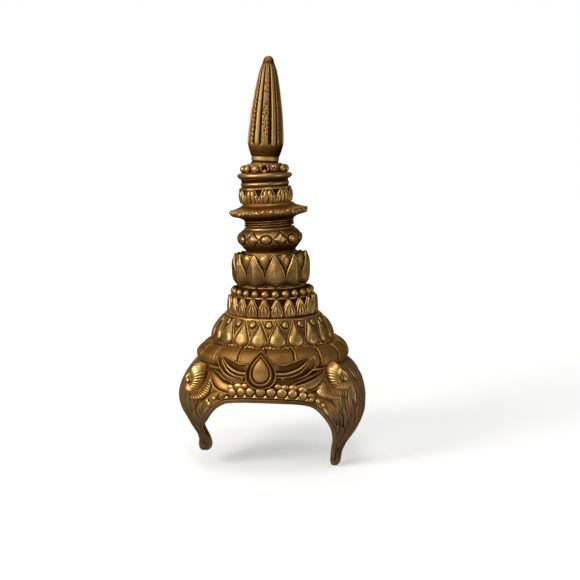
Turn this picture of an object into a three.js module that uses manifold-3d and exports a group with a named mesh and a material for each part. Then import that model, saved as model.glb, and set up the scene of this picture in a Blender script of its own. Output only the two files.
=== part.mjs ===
// Thai dance headdress: a hollow cast cap with two ear flaps that carries a slightly leaning spire of
// stacked cast tiers, with a brow band, a front jewel and curled temple ornaments set on the cap.
// Units are millimetres. +Z is up and -Y is the wearer's front. The origin is the point inside the cap
// where the crown of the head meets it.
import * as THREE from "three";
import { mergeVertices } from "three/addons/utils/BufferGeometryUtils.js";
import Module from "manifold-3d";

const wasm = await Module();
wasm.setup();
const { degToRad, radToDeg, lerp, clamp } = THREE.MathUtils;

// Driving dimensions
const GAP = 0.3; // clearance between neighbouring castings
const WALL = 5; // thickness of the cap's cast wall
const CAP_TOP = -43; // shoulder of the cap, where the leaf roll sits
const BROW = -78.5; // front edge of the cap, over the middle of the brow

const GOLD = { color: 0x8f6a33, roughness: 0.42, metalness: 0.85 };
const BRIGHT_GOLD = { color: 0xa87f3e, roughness: 0.36, metalness: 0.9 };
const DULL_GOLD = { color: 0x6b5030, roughness: 0.55, metalness: 0.7 };

// Rows of numbers as objects with named columns.
function table(columns, rows) {
  const names = columns.split(" ");
  return rows.map((row) => Object.fromEntries(names.map((name, i) => [name, row[i]])));
}

// A table's column at a height, by straight lines between its rows, which run downwards.
function readTable(rows, column, height) {
  const below = rows.findIndex((row) => row.height <= height);
  if (below === 0) return rows[0][column];
  if (below < 0) return rows.at(-1)[column];
  const [high, low] = [rows[below - 1], rows[below]];
  return lerp(low[column], high[column], (height - low.height) / (high.height - low.height));
}

// Solids and meshes

// Merges the vertices that coincide and drops the triangles that this closes up.
function closed(geometry) {
  for (const name of ["normal", "uv"]) geometry.deleteAttribute(name);
  const merged = mergeVertices(geometry, 1e-3);
  const corners = merged.index.array;
  const kept = [];
  for (let i = 0; i < corners.length; i += 3) {
    const [a, b, c] = corners.subarray(i, i + 3);
    if (a !== b && b !== c && c !== a) kept.push(a, b, c);
  }
  merged.setIndex(kept);
  return merged;
}

// A closed surface over a grid of points. Columns wrap round, and the first and the last row each come
// together in one point.
function gridSolid(columns, rows, place) {
  const positions = [];
  for (let row = 0; row < rows; row++) {
    for (let column = 0; column < columns; column++) positions.push(...place(column, row));
  }
  const index = [];
  for (let row = 0; row < rows - 1; row++) {
    const [low, high] = [row * columns, (row + 1) * columns];
    for (let column = 0; column < columns; column++) {
      const next = (column + 1) % columns;
      index.push(low + column, low + next, high + next, low + column, high + next, high + column);
    }
  }
  const geometry = new THREE.BufferGeometry();
  geometry.setAttribute("position", new THREE.Float32BufferAttribute(positions, 3));
  geometry.setIndex(index);
  return facingOut(closed(geometry));
}

// Turns every face round where a surface was built as a mirror image, so that it encloses its inside.
function facingOut(geometry) {
  const position = geometry.attributes.position;
  const corners = geometry.index.array;
  const point = (i) => new THREE.Vector3().fromBufferAttribute(position, corners[i]);
  let volume = 0;
  const reversed = [];
  for (let i = 0; i < corners.length; i += 3) {
    volume += point(i).dot(point(i + 1).cross(point(i + 2)));
    reversed.push(corners[i], corners[i + 2], corners[i + 1]);
  }
  return volume < 0 ? geometry.setIndex(reversed) : geometry;
}

function toSolid(geometry) {
  const shape = closed(geometry.clone());
  const mesh = new wasm.Mesh({
    numProp: 3,
    vertProperties: new Float32Array(shape.attributes.position.array),
    triVerts: new Uint32Array(shape.index.array),
  });
  return new wasm.Manifold(mesh);
}

function toGeometry(solid) {
  const { vertProperties, triVerts } = solid.getMesh();
  const geometry = new THREE.BufferGeometry();
  geometry.setAttribute("position", new THREE.Float32BufferAttribute(vertProperties, 3));
  geometry.setIndex([...triVerts]);
  return geometry;
}

// A named mesh with flat facets.
function piece(name, geometry, finish) {
  const shaded = geometry.toNonIndexed();
  shaded.computeVertexNormals();
  const mesh = new THREE.Mesh(shaded, new THREE.MeshStandardMaterial(finish));
  mesh.name = name;
  return mesh;
}

// A point at a turn from the wearer's front towards +X, a radius from the axis, and a height.
function around(turn, radius, height) {
  return new THREE.Vector3(radius * Math.sin(turn), -radius * Math.cos(turn), height);
}

// Tiers of the spire
// Each tier is a turned ring with leaves cast on its outside. Heights start at the tier's own seat.
// Columns: width is the share of its pitch that a leaf fills, bulge how far the leaf stands out at its
// middle, and notch how far an edge drops between two leaves.

// How far a leaf stands out, at a distance from its mid-line of `across` half pitches.
function leafRise({ width = 0, bulge = 0 }, across) {
  return across < width ? bulge * Math.sqrt(1 - (across / width) ** 2) : 0;
}

// Distance from the nearest leaf's mid-line, in half pitches: 0 on the mid-line, 1 between two leaves.
function acrossLeaf(turn, leaves) {
  const pitches = (turn * leaves) / (2 * Math.PI);
  return 2 * Math.abs(pitches - Math.round(pitches));
}

// Turns an outline about the axis, raises the leaves on it and then opens its bore.
function turned({ outside, bore, leaves, columns, rise = leafRise }) {
  const axis = [outside[0], outside.at(-1)].map(({ height }) => ({ radius: 0, height }));
  const outline = [axis[0], ...outside, axis[1]];
  const points = outline.map(({ radius, height }) => new THREE.Vector2(radius, height));
  const geometry = new THREE.LatheGeometry(points, columns);
  const position = geometry.attributes.position;
  for (let i = 0; i < position.count; i++) {
    const row = outline[i % outline.length];
    const turn = (2 * Math.PI * Math.floor(i / outline.length)) / columns;
    const across = acrossLeaf(turn, leaves);
    const drop = (row.notch ?? 0) * (1 - Math.abs(1 - 2 * across));
    const raised = row.radius > 0 ? row.radius + rise(row, across) : 0;
    const point = around(turn, raised, row.height - drop);
    position.setXYZ(i, point.x, point.y, point.z);
  }
  return bore ? toGeometry(toSolid(geometry).subtract(boring(bore))) : closed(geometry);
}

// The hollow inside a tier, from its upper end down, run on past the tier at its open ends.
const BORE_SIDES = 20;
const RUN_ON = 1;
function boring(rows) {
  const [top, foot] = [rows[0], rows.at(-1)];
  const section = [
    { radius: 0, height: foot.height - RUN_ON },
    { radius: foot.radius, height: foot.height - RUN_ON },
    ...rows.toReversed(),
    { radius: top.radius, height: top.height + RUN_ON },
    { radius: 0, height: top.height + RUN_ON },
  ];
  const points = section.map(({ radius, height }) => new THREE.Vector2(radius, height));
  const geometry = new THREE.LatheGeometry(points, BORE_SIDES).rotateX(Math.PI / 2);
  return toSolid(geometry);
}

// Domes set round a tier at one height, joined to it.
function studded(geometry, count, makeStud, startTurn = 0) {
  let solid = toSolid(geometry);
  for (let i = 0; i < count; i++) {
    const turn = startTurn + (2 * Math.PI * i) / count;
    solid = solid.add(toSolid(makeStud().rotateZ(turn)));
  }
  return toGeometry(solid);
}

const BEAD_SIDES = 10;
const BEAD_BANDS = 3;

// A round bead whose flat poles face in and out, in front of the axis.
function bead(radius, reach, height, stretch = 1) {
  const ball = new THREE.SphereGeometry(radius, BEAD_SIDES, BEAD_BANDS);
  return ball.scale(stretch, 1, 1).translate(0, -reach, height);
}

// Big leaves rolled over the edge of the cap.
const LEAF_ROLL = {
  leaves: 17,
  columns: 17 * 4,
  outside: table("radius height width bulge", [
    [87.2, 0, 0.8, 1.2],
    [88, 8, 0.9, 2.4],
    [83.4, 17.4, 0.95, 2.4],
    [71.8, 24.1, 0, 0],
  ]),
  bore: table("radius height", [
    [68.6, 24.1],
    [82.6, 0],
  ]),
};

// Drop-shaped lotus petals that swell towards their foot, under a plain rim.
const PETAL_TIER = {
  leaves: 17,
  columns: 17 * 4,
  outside: table("radius height width bulge", [
    [70.2, 0, 0.7, 1],
    [69.8, 5, 1, 3.2],
    [68.2, 12.5, 0.95, 3.2],
    [62.6, 22, 0.4, 1.6],
    [57.4, 30, 0, 0],
  ]),
  bore: table("radius height", [
    [46, 30],
    [69, 0],
  ]),
};

// Upright leaves under a recessed row of round beads.
const BEADED_TIER = {
  leaves: 22,
  columns: 22 * 2,
  outside: table("radius height width bulge", [
    [52.4, 0, 1, 0.8],
    [52.2, 6, 1, 2],
    [51, 20, 0.4, 1],
    [45.6, 21.8, 0, 0],
    [44.4, 31, 0, 0],
    [40, 33, 0, 0],
  ]),
  bore: table("radius height", [
    [31, 33],
    [43, 0],
  ]),
};
const TIER_BEAD = { radius: 4.4, reach: 45.2, height: 26.2 };

// A cup of tall keeled leaves, with a smaller leaf showing between each two.
const LEAF_DRUM = {
  leaves: 11,
  columns: 11 * 4,
  outside: table("radius height width bulge notch", [
    [39.2, 0, 0.9, 0.4, 0],
    [43.8, 9, 0.9, 1.4, 0],
    [44.5, 25, 0.8, 1.8, 0],
    [44.8, 38, 0.2, 1.4, 5],
    [41.4, 37.6, 0, 0, 5],
    [40.4, 31, 0, 0, 0],
    [30, 38, 0, 0, 0],
  ]),
  bore: table("radius height", [
    [26, 38],
    [26, 0],
  ]),
};

// A swelling cushion with six round bosses and six diamonds.
const BULB = {
  leaves: 6,
  columns: 24,
  outside: table("radius height", [
    [30, 0],
    [30, 3.4],
    [37.2, 9.4],
    [38.6, 15.4],
    [36.4, 22],
    [30.4, 28],
    [30.4, 29.8],
  ]),
  bore: table("radius height", [
    [22, 29.8],
    [22, 0],
  ]),
};
const BULB_BOSS = { radius: 4.6, reach: 36.4, height: 14.6, stretch: 1.25 };
const BULB_DIAMOND = { halfDiagonal: 9, depth: 6, reach: 38, height: 15.4 };

// A thin dish with a beaded rim, over a stem of turned rings.
const DISC = {
  leaves: 18,
  columns: 36,
  outside: table("radius height width bulge", [
    [29.4, 0, 0, 0],
    [30.6, 5.4, 0, 0],
    [29.8, 8.4, 0, 0],
    [44.6, 15.2, 0.9, 0.8],
    [45.6, 17.8, 0.9, 1.2],
    [44.2, 20.4, 0.9, 0.8],
    [31, 26.4, 0, 0],
  ]),
  bore: table("radius height", [
    [21, 26.4],
    [22, 0],
  ]),
};

// A ring of palm leaves with a hollow neck above it.
const LEAF_RING = {
  leaves: 8,
  columns: 8 * 4,
  outside: table("radius height width bulge", [
    [29.2, 0, 0.9, 0.8],
    [29.8, 7, 0.95, 2],
    [30.2, 18.6, 0.4, 1.4],
    [27.6, 20.8, 0, 0],
    [27.2, 24, 0, 0],
    [28.4, 28.7, 0, 0],
  ]),
  bore: table("radius height", [
    [19, 28.7],
    [20, 0],
  ]),
};

// A moulded lip that carries a row of knobs, with a recess for the foot of the finial.
const COLLAR = {
  leaves: 14,
  columns: 28,
  outside: table("radius height", [
    [28.6, 0],
    [32.2, 2.8],
    [32.2, 5.6],
    [25.4, 8.4],
    [24.6, 15.4],
    [19.4, 18],
  ]),
  bore: table("radius height", [
    [18.4, 18],
    [18.4, 15],
    [11, 15],
    [18, 0],
  ]),
};
const COLLAR_KNOB = { radius: 4.4, reach: 24.8, height: 12.2 };

// A ribbed lotus bud. Columns: groove is how deep the grooves are cut, beside flat panels and paired ribs.
const FINIAL = {
  leaves: 5,
  columns: 5 * 8,
  outside: table("radius height groove", [
    [16.4, 0, 0],
    [16, 12, 0],
    [19.2, 20, 0],
    [20.2, 27, 1.4],
    [19.6, 42, 1.6],
    [17.2, 70, 1.5],
    [11.8, 100, 1.1],
    [7.4, 116, 0.4],
    [4.4, 124.6, 0],
    [0, 127.4, 0],
  ]),
  bore: table("radius height groove", [
    [0, 104, 0],
    [7, 84, 0],
    [10, 0, 0],
  ]),
};

// Panels lie level, each groove beside a panel is deep, and the two ribs between panels stand proud.
function budRise({ groove }, across) {
  if (across < 0.45) return 0;
  if (across < 0.65) return -groove;
  return across < 0.9 ? 0.5 * groove : -0.7 * groove;
}

// A four-sided pyramid that stands on one corner and faces outwards.
function diamond({ halfDiagonal, depth, reach, height }) {
  const pyramid = new THREE.ConeGeometry(halfDiagonal, depth, 4);
  return pyramid.rotateX(Math.PI).translate(0, -reach, height);
}

function beadedTier() {
  const { radius, reach, height } = TIER_BEAD;
  return studded(turned(BEADED_TIER), BEADED_TIER.leaves, () => bead(radius, reach, height));
}

function bulb() {
  const { radius, reach, height, stretch } = BULB_BOSS;
  const bossed = studded(turned(BULB), BULB.leaves, () => bead(radius, reach, height, stretch));
  return studded(bossed, BULB.leaves, () => diamond(BULB_DIAMOND), Math.PI / BULB.leaves);
}

function collar() {
  const { radius, reach, height } = COLLAR_KNOB;
  return studded(turned(COLLAR), COLLAR.leaves, () => bead(radius, reach, height));
}

// The tiers from the cap upwards. Columns: rise is the height from this seat to the next, lean the tilt
// towards the wearer's right (-X) in degrees, shift how far the seat is set over to that side, turn how
// far the tier is turned so that its leaves face as they do, and contact the radius that it rests on.
const SPIRE = table("name make finish rise lean shift turn contact", [
  ["leaf_roll", () => turned(LEAF_ROLL), GOLD, 24.1, 0, 0, 14, 0],
  ["petal_tier", () => turned(PETAL_TIER), GOLD, 30, 0, 0, 14.5, 0],
  ["beaded_tier", beadedTier, GOLD, 33, 0.9, 0, 0, 53],
  ["leaf_drum", () => turned(LEAF_DRUM), GOLD, 38, 1.5, 0.3, 13, 40],
  ["bulb", bulb, GOLD, 29.8, 2.4, 0.4, 5, 30],
  ["beaded_disc", () => turned(DISC), GOLD, 26.4, 3.6, 0.2, 0, 30],
  ["leaf_ring", () => turned(LEAF_RING), GOLD, 28.7, 3.2, 2.2, 10, 29],
  ["knob_collar", collar, GOLD, 15, 2, 0, 0, 28],
  ["finial", () => turned({ ...FINIAL, rise: budRise }), BRIGHT_GOLD, 127.4, -2.2, -0.6, 5, 16.4],
]);

// Stacks the tiers, each on the one below and square to its own leaning axis.
function spire() {
  const stack = new THREE.Group();
  const seat = new THREE.Vector3(0, 0, CAP_TOP + GAP);
  let leanBelow = 0;
  for (const { name, make, finish, rise, lean, shift, turn, contact } of SPIRE) {
    const tilt = degToRad(lean);
    seat.z += contact * Math.abs(Math.sin(tilt - leanBelow));
    seat.x -= shift;
    const tier = new THREE.Group();
    tier.add(piece(name, make().rotateZ(degToRad(turn)), finish));
    tier.position.copy(seat);
    tier.rotation.y = -tilt;
    stack.add(tier);
    seat.add(new THREE.Vector3(-Math.sin(tilt), 0, Math.cos(tilt)).multiplyScalar(rise + GAP));
    leanBelow = tilt;
  }
  return stack;
}

// Cap
// The cap widens from the shoulder to a bell over the ears and draws in again towards the tips of the
// flaps. Columns: its reach to the wearer's right (-X) and left, and to the front and the back.
const CAP_SHAPE = table("height right left front back", [
  [CAP_TOP, 88.5, 88.5, 87.5, 90],
  [-49, 95.2, 95.2, 90.5, 96],
  [-58, 102.4, 102.4, 93.6, 102.5],
  [-69, 109, 108.5, 97, 107.5],
  [-81, 113.6, 112.4, 99, 111],
  [-92, 114.6, 113.6, 99.4, 112.5],
  [-103, 111.2, 113, 98.6, 112.5],
  [-116, 104.2, 109.6, 95.6, 110.5],
  [-130, 95.8, 102, 91, 107],
  [-143, 90.4, 92.6, 86.4, 103],
  [-156, 90.4, 86.6, 83.2, 100],
  [-171, 90.4, 85, 82.4, 98],
]);

// The inside of the crown is a dome over the head, and its outside carries the roll and petal tiers.
const DOME_OUTSIDE = table("radius height", [
  [0, 4],
  [48, -5.5],
  [66.4, -18.5],
  [80, CAP_TOP],
]);
const DOME_INSIDE = table("radius height", [
  [82, -50],
  [73.6, -36],
  [63, -22],
  [45, -9],
  [0, 0],
]);

// The cap's lower edge on each side, from the middle of the brow along the flap and over the ear to the
// nape. The two flaps hang unevenly, and each ends in a small foot. Columns: turn in degrees, and height.
const EDGES = {
  right: {
    side: -1,
    points: table("turn height", [
      [0, BROW],
      [11, -79.2],
      [21, -81.8],
      [26, -86],
      [30, -91],
      [35, -99.4],
      [40, -107.5],
      [45, -114],
      [46, -123],
      [46, -132],
      [48, -141],
      [53, -148.5],
      [60, -151],
      [68, -150],
      [75, -145],
      [78, -132],
      [82, -118],
      [91, -107],
      [103, -104],
      [115, -105.5],
      [130, -112],
      [147, -117.5],
      [164, -118.5],
      [180, -118.5],
    ]),
  },
  left: {
    side: 1,
    points: table("turn height", [
      [0, BROW],
      [12, -79.2],
      [24, -81.4],
      [32, -86],
      [37, -93],
      [42, -103],
      [47.5, -115.5],
      [53, -129],
      [60, -143],
      [65.5, -157],
      [67, -166],
      [71, -170.5],
      [78, -171],
      [83.5, -167],
      [86.5, -157],
      [89.5, -145],
      [94, -130],
      [100, -115],
      [108, -106.5],
      [118, -105.5],
      [131, -112],
      [147, -117.5],
      [164, -118.5],
      [180, -118.5],
    ]),
  },
};

// Height of the cap's front edge at a turn, as far round as the upper part of the flaps.
function hem(turn) {
  const { points } = turn < 0 ? EDGES.right : EDGES.left;
  const away = radToDeg(Math.abs(turn));
  const next = points.findIndex((point) => point.turn > away);
  const [before, after] = [points[next - 1], points[next]];
  return lerp(before.height, after.height, (away - before.turn) / (after.turn - before.turn));
}

// The wall's columns run from the shoulder down to the points of the edge, and start more evenly spaced
// than they end.
const EVENNESS = 0.3;
const COLUMN_SWEEP = 1.5;
function wallColumns({ side, points }) {
  return points.map(({ turn, height }, i) => {
    const even = (180 * i) / (points.length - 1);
    return { from: side * degToRad(lerp(turn, even, EVENNESS)), to: side * degToRad(turn), foot: height };
  });
}
const COLUMNS = [...wallColumns(EDGES.left), ...wallColumns(EDGES.right).slice(1, -1).reverse()];

// A point on the cap's outside, or `out` millimetres off it.
function onCap(turn, height, out = 0) {
  const side = readTable(CAP_SHAPE, turn < 0 ? "right" : "left", height) + out;
  const reach = readTable(CAP_SHAPE, Math.abs(turn) < Math.PI / 2 ? "front" : "back", height) + out;
  const point = around(turn, 1, height);
  return new THREE.Vector3(side * point.x, reach * point.y, height);
}

const OUTER_STEPS = [0, 0.1, 0.24, 0.4, 0.56, 0.72, 0.87, 1]; // down to the hem
const INNER_STEPS = [1, 0.9, 0.6, 0.24];
const LOCK_RELIEF = 1.1; // how far the locks of hair stand out at the sides and back
const LOCKS_FROM = degToRad(75); // the front of the cap is left smooth, for its ornaments

// Locks run down every other column of the sides and the back.
function lockRelief(column, step) {
  if (Math.abs(COLUMNS[column].to) < LOCKS_FROM) return 0;
  const fade = Math.sin(Math.PI * clamp(step, 0, 1)) ** 0.5;
  return (column % 2 ? LOCK_RELIEF : -LOCK_RELIEF) * fade;
}

// A point of the wall, a share of the way from the shoulder to the hem.
function onWall(column, step, out) {
  const { from, to, foot } = COLUMNS[column];
  return onCap(lerp(from, to, step ** COLUMN_SWEEP), lerp(CAP_TOP, foot, step), out);
}

// The dome's outside, the wall's outside down to the hem, its inside up again, and the dome's inside.
function capGeometry() {
  const domeRow = ({ radius, height }) => (column) => around(COLUMNS[column].from, radius, height);
  const rows = [
    ...DOME_OUTSIDE.map(domeRow),
    ...OUTER_STEPS.map((step) => (column) => onWall(column, step, lockRelief(column, step))),
    ...INNER_STEPS.map((step) => (column) => onWall(column, step, -WALL)),
    ...DOME_INSIDE.map(domeRow),
  ].reverse();
  return gridSolid(COLUMNS.length, rows.length, (column, row) => rows[row](column));
}

// Ornaments set on the front

// What an ornament is cut back from: everything inside the cap's front and the roll, plus the clearance.
function ornamentSeat() {
  const rows = [
    () => around(0, 0, CAP_TOP),
    ...OUTER_STEPS.map((step) => (column) => onWall(column, step, GAP)),
    () => around(0, 0, BROW),
  ].reverse();
  const cap = gridSolid(COLUMNS.length, rows.length, (column, row) => rows[row](column));
  const widened = LEAF_ROLL.outside.map((row) => ({ ...row, radius: row.radius + GAP }));
  const sunk = { ...widened[0], height: -4 * GAP };
  const roll = turned({ ...LEAF_ROLL, outside: [sunk, ...widened], bore: null });
  const [rollTier] = SPIRE;
  roll.rotateZ(degToRad(rollTier.turn)).translate(0, 0, CAP_TOP + GAP);
  return toSolid(cap).add(toSolid(roll));
}

const ORNAMENT_SEAT = ornamentSeat();
const ROOT_DEPTH = 5; // how deep an ornament is begun, before it is cut back to its seat

function seated(geometry) {
  return toGeometry(toSolid(geometry).subtract(ORNAMENT_SEAT));
}

// Radius of the front of the cap and of the roll's bulge above it, which the ornaments lie on.
const ROLL_REACH = 90.6;
function frontRadius(turn, height) {
  const wall = onCap(turn, Math.min(height, CAP_TOP));
  return Math.max(ROLL_REACH, Math.hypot(wall.x, wall.y));
}

function onFront(turn, height, out) {
  return around(turn, frontRadius(turn, height) + out, height);
}

// A tapered horn that lies along a curve. Columns: turn in degrees, height, half its width across the
// curve, and how far its crest stands out. `side` mirrors it.
const HORN_SIDES = 6;
function horn(path, side) {
  const along = path.map(({ turn, height }) => {
    const angle = side * degToRad(turn);
    return new THREE.Vector2(angle * ROLL_REACH, height);
  });
  const curve = new THREE.SplineCurve(along);
  const section = (column, row) => {
    const { halfWidth, crest } = path[row];
    const sectionAngle = (2 * Math.PI * column) / HORN_SIDES;
    const tangent = curve.getTangent(row / (path.length - 1));
    const across = side * halfWidth * Math.cos(sectionAngle);
    const place = along[row].clone().add(new THREE.Vector2(tangent.y, -tangent.x).multiplyScalar(across));
    const lift = Math.sin(sectionAngle);
    const out = lift > 0 ? crest * lift : ROOT_DEPTH * lift;
    return onFront(place.x / ROLL_REACH, place.y, halfWidth > 0 ? out : 0);
  };
  return gridSolid(HORN_SIDES, path.length, section);
}

// Crescent leaves that rise from both sides of the jewel.
const CRESCENT = table("turn height halfWidth crest", [
  [11.6, -43, 0, 0],
  [14, -44.5, 3.2, 3],
  [18.5, -45.5, 5, 5],
  [23.5, -43.5, 5, 5.6],
  [28, -39, 3.8, 5],
  [31, -33.5, 2.2, 3.4],
  [33, -27.5, 0, 0],
]);

// Curved leaves from the temple scrolls down to the brow band.
const TEMPLE_LEAF = table("turn height halfWidth crest", [
  [38, -49, 0, 0],
  [38, -54.5, 2.2, 3],
  [36, -60.5, 3.4, 4],
  [31.5, -62.4, 2.6, 3.6],
  [27, -62.4, 0, 0],
]);

// A drop-shaped jewel in a double border. Columns: scale of the outline, and how far it stands out.
const JEWEL = { width: 34, height: 38, middle: -42.4, lean: -0.04, fullness: 0.8, sides: 18 };
const JEWEL_RINGS = table("scale out", [
  [0, -ROOT_DEPTH],
  [1, -ROOT_DEPTH],
  [1, 3.6],
  [0.9, 6],
  [0.8, 4.4],
  [0.72, 6],
  [0.62, 4.6],
  [0.52, 6.4],
  [0.3, 8.6],
  [0, 9],
]);

function jewel() {
  const { width, height, middle, lean, fullness, sides } = JEWEL;
  const shape = (angle) => Math.sin(angle) * Math.sin(angle / 2) ** fullness;
  const widest = Math.max(...Array.from({ length: 90 }, (_, i) => shape((i * Math.PI) / 90)));
  const geometry = gridSolid(sides, JEWEL_RINGS.length, (column, row) => {
    const { scale, out } = JEWEL_RINGS[row];
    const angle = (-2 * Math.PI * column) / sides;
    const across = (scale * width * shape(Math.abs(angle)) * Math.sign(angle || 1)) / (2 * widest);
    const up = scale * (height / 2) * Math.cos(angle);
    const radius = ROLL_REACH + 1 - lean * up + out - (out < 0 ? Math.max(0, up) : 0);
    return around(across / ROLL_REACH, radius, middle + up);
  });
  return seated(geometry);
}

// A curled scroll at the temple, a spiral ridge that thins towards its eye.
const SCROLL = {
  turn: degToRad(51.5),
  height: -59,
  turns: 1.4,
  steps: 14,
  startAngle: degToRad(80),
  outerRadius: 13.4,
  eyeRadius: 3.2,
  halfWidth: 4.2,
  eyeHalfWidth: 1.9,
  crest: 9,
};

function scroll(side) {
  const s = SCROLL;
  const geometry = gridSolid(HORN_SIDES, s.steps + 3, (column, row) => {
    const along = clamp((row - 1) / s.steps, 0, 1);
    const isEnd = row === 0 || row === s.steps + 2;
    const angle = s.startAngle + 2 * Math.PI * s.turns * along;
    const sectionAngle = (2 * Math.PI * column) / HORN_SIDES;
    const halfWidth = isEnd ? 0 : lerp(s.halfWidth, s.eyeHalfWidth, along);
    const radius = lerp(s.outerRadius, s.eyeRadius, along) + halfWidth * Math.cos(sectionAngle);
    const across = -radius * Math.cos(angle);
    const height = s.height + radius * Math.sin(angle);
    const lift = Math.sin(sectionAngle);
    const out = isEnd ? 0 : lift > 0 ? s.crest * lift : ROOT_DEPTH * lift;
    const reach = frontRadius(s.turn, s.height);
    return onCap(side * (s.turn + across / reach), height, out);
  });
  return seated(geometry);
}

// A moulded band over the brow, with a scalloped upper edge and a row of round studs.
const BAND = { from: degToRad(-36), to: degToRad(42), steps: 20, foot: 6.4, head: 14.6, thick: 2.2 };
const SCALLOPS = { from: degToRad(12), to: degToRad(25), height: 6 };
const BROW_STUD = { radius: 4.6, flatness: 0.62, pitch: degToRad(6.7), each: 4, above: 12.4 };
const BROW_STUD_LIFT = 0.8; // how far a stud's middle lies out of the band
const SMALL_STUDS = table("turn radius", [
  [31.5, 3.6],
  [36, 3.2],
  [40, 2.8],
]);

function browBand() {
  const { from, to, steps, foot, head, thick } = BAND;
  const section = table("lift out", [
    [0, -ROOT_DEPTH],
    [0, thick],
    [0.55, thick + 0.8],
    [1, thick],
    [1, -ROOT_DEPTH],
  ]);
  const strip = gridSolid(section.length, steps + 3, (column, row) => {
    const isEnd = row === 0 || row === steps + 2;
    const turn = lerp(from, to, clamp((row - 1) / steps, 0, 1));
    const tab = (Math.abs(turn) - SCALLOPS.from) / (SCALLOPS.to - SCALLOPS.from);
    const scallop = Math.abs(2 * tab - 1) < 1 ? SCALLOPS.height * Math.abs(Math.sin(2 * Math.PI * tab)) : 0;
    const { lift, out } = isEnd ? { lift: 0.5, out: 0 } : section[column];
    return onCap(turn, hem(turn) + lerp(foot, head + scallop, lift), out);
  });
  const large = Array.from({ length: 2 * BROW_STUD.each + 1 }, (_, i) => {
    return { turn: (i - BROW_STUD.each) * BROW_STUD.pitch, radius: BROW_STUD.radius };
  });
  const small = SMALL_STUDS.flatMap(({ turn, radius }) =>
    [-1, 1].map((side) => ({ turn: side * degToRad(turn), radius })),
  );
  let solid = toSolid(strip);
  for (const { turn, radius } of [...large, ...small]) {
    if (turn < from || turn > to) continue;
    const place = onCap(turn, hem(turn) + BROW_STUD.above, thick + BROW_STUD_LIFT);
    const ball = new THREE.SphereGeometry(radius, BEAD_SIDES, BEAD_BANDS);
    const stud = ball.scale(1, BROW_STUD.flatness, 1).rotateZ(turn);
    solid = solid.add(toSolid(stud.translate(place.x, place.y, place.z)));
  }
  return toGeometry(solid.subtract(ORNAMENT_SEAT));
}

// Assembly
const headdress = new THREE.Group();
headdress.add(piece("cap", capGeometry(), DULL_GOLD));
headdress.add(spire());
headdress.add(piece("brow_band", browBand(), BRIGHT_GOLD));
headdress.add(piece("front_jewel", jewel(), GOLD));
for (const [hand, { side }] of Object.entries(EDGES)) {
  headdress.add(piece(`crescent_${hand}`, seated(horn(CRESCENT, side)), GOLD));
  headdress.add(piece(`temple_leaf_${hand}`, seated(horn(TEMPLE_LEAF, side)), GOLD));
  headdress.add(piece(`temple_scroll_${hand}`, scroll(side), BRIGHT_GOLD));
}

export default headdress;
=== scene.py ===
# Thai dance headdress: a cast cap with two ear flaps under a leaning spire of lotus tiers, painted all over
# in antique gold that is dark in the hollows and rubbed bright on the high points. The shapes are worked
# out in millimetres. A turn runs from the wearer's front (-Y) towards the wearer's left (+X).
import math

import bpy
import numpy as np
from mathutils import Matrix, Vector


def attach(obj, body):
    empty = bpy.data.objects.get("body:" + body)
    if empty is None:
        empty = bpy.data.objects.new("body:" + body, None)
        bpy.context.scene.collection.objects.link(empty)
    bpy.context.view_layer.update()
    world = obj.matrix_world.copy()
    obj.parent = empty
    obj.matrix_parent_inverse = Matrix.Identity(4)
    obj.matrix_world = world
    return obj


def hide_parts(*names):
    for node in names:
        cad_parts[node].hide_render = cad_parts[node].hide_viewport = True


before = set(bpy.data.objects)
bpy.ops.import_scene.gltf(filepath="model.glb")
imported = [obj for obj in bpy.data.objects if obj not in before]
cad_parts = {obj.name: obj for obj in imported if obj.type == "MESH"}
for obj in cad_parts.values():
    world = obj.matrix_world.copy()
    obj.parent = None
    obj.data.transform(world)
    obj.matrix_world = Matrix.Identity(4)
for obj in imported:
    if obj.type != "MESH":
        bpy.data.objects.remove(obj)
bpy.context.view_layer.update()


# Cap
# The helmet over the wearer's head: one hollow casting with a rolled hem and two uneven ear flaps. Its
# sides and back are modelled as overlapping locks of hair, and it is painted a dull, brownish gold.

def flowing(at, known, values):
    """A smooth curve through a table: cubic pieces between its entries, whose slope at each entry is the
    mean slope to its neighbours."""
    known, values = np.asarray(known, float), np.asarray(values, float)
    slopes = np.gradient(values, known)
    at = np.clip(at, known[0], known[-1])
    i = np.clip(np.searchsorted(known, at) - 1, 0, len(known) - 2)
    step = known[i + 1] - known[i]
    t = (at - known[i]) / step
    start = (1 + 2 * t) * (1 - t) ** 2 * values[i] + t * (1 - t) ** 2 * step * slopes[i]
    end = t**2 * (3 - 2 * t) * values[i + 1] - t**2 * (1 - t) * step * slopes[i + 1]
    return start + end


def eased(low, high, value):
    """0 up to low, 1 from high on, and 3t^2 - 2t^3 between them. Low may be the larger of the two."""
    t = np.clip((value - low) / (high - low), 0, 1)
    return t * t * (3 - 2 * t)


def ridge(distance, width):
    """A rounded ridge along the line where distance is 0: exp(-(distance / width)^2)."""
    return np.exp(-((distance / width) ** 2))


cap_rows = np.array([
    # height, reach to the wearer's right, left, front and back
    (-171, 94.2, 85, 82.4, 98),
    (-156, 93.6, 86.6, 83.2, 100),
    (-143, 91, 92.6, 86.4, 103),
    (-130, 95.8, 102, 91, 107),
    (-116, 104.2, 108.6, 95.6, 110.5),
    (-103, 111.2, 111.8, 98.6, 112.5),
    (-92, 114.6, 112.4, 99.4, 112.5),
    (-81, 113.6, 111.4, 99, 111),
    (-69, 109, 108.5, 97, 107.5),
    (-58, 102.4, 102.4, 93.6, 102.5),
    (-49, 95.2, 95.2, 90.5, 96),
    (-43, 88.5, 88.5, 87.5, 90),
])


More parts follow.
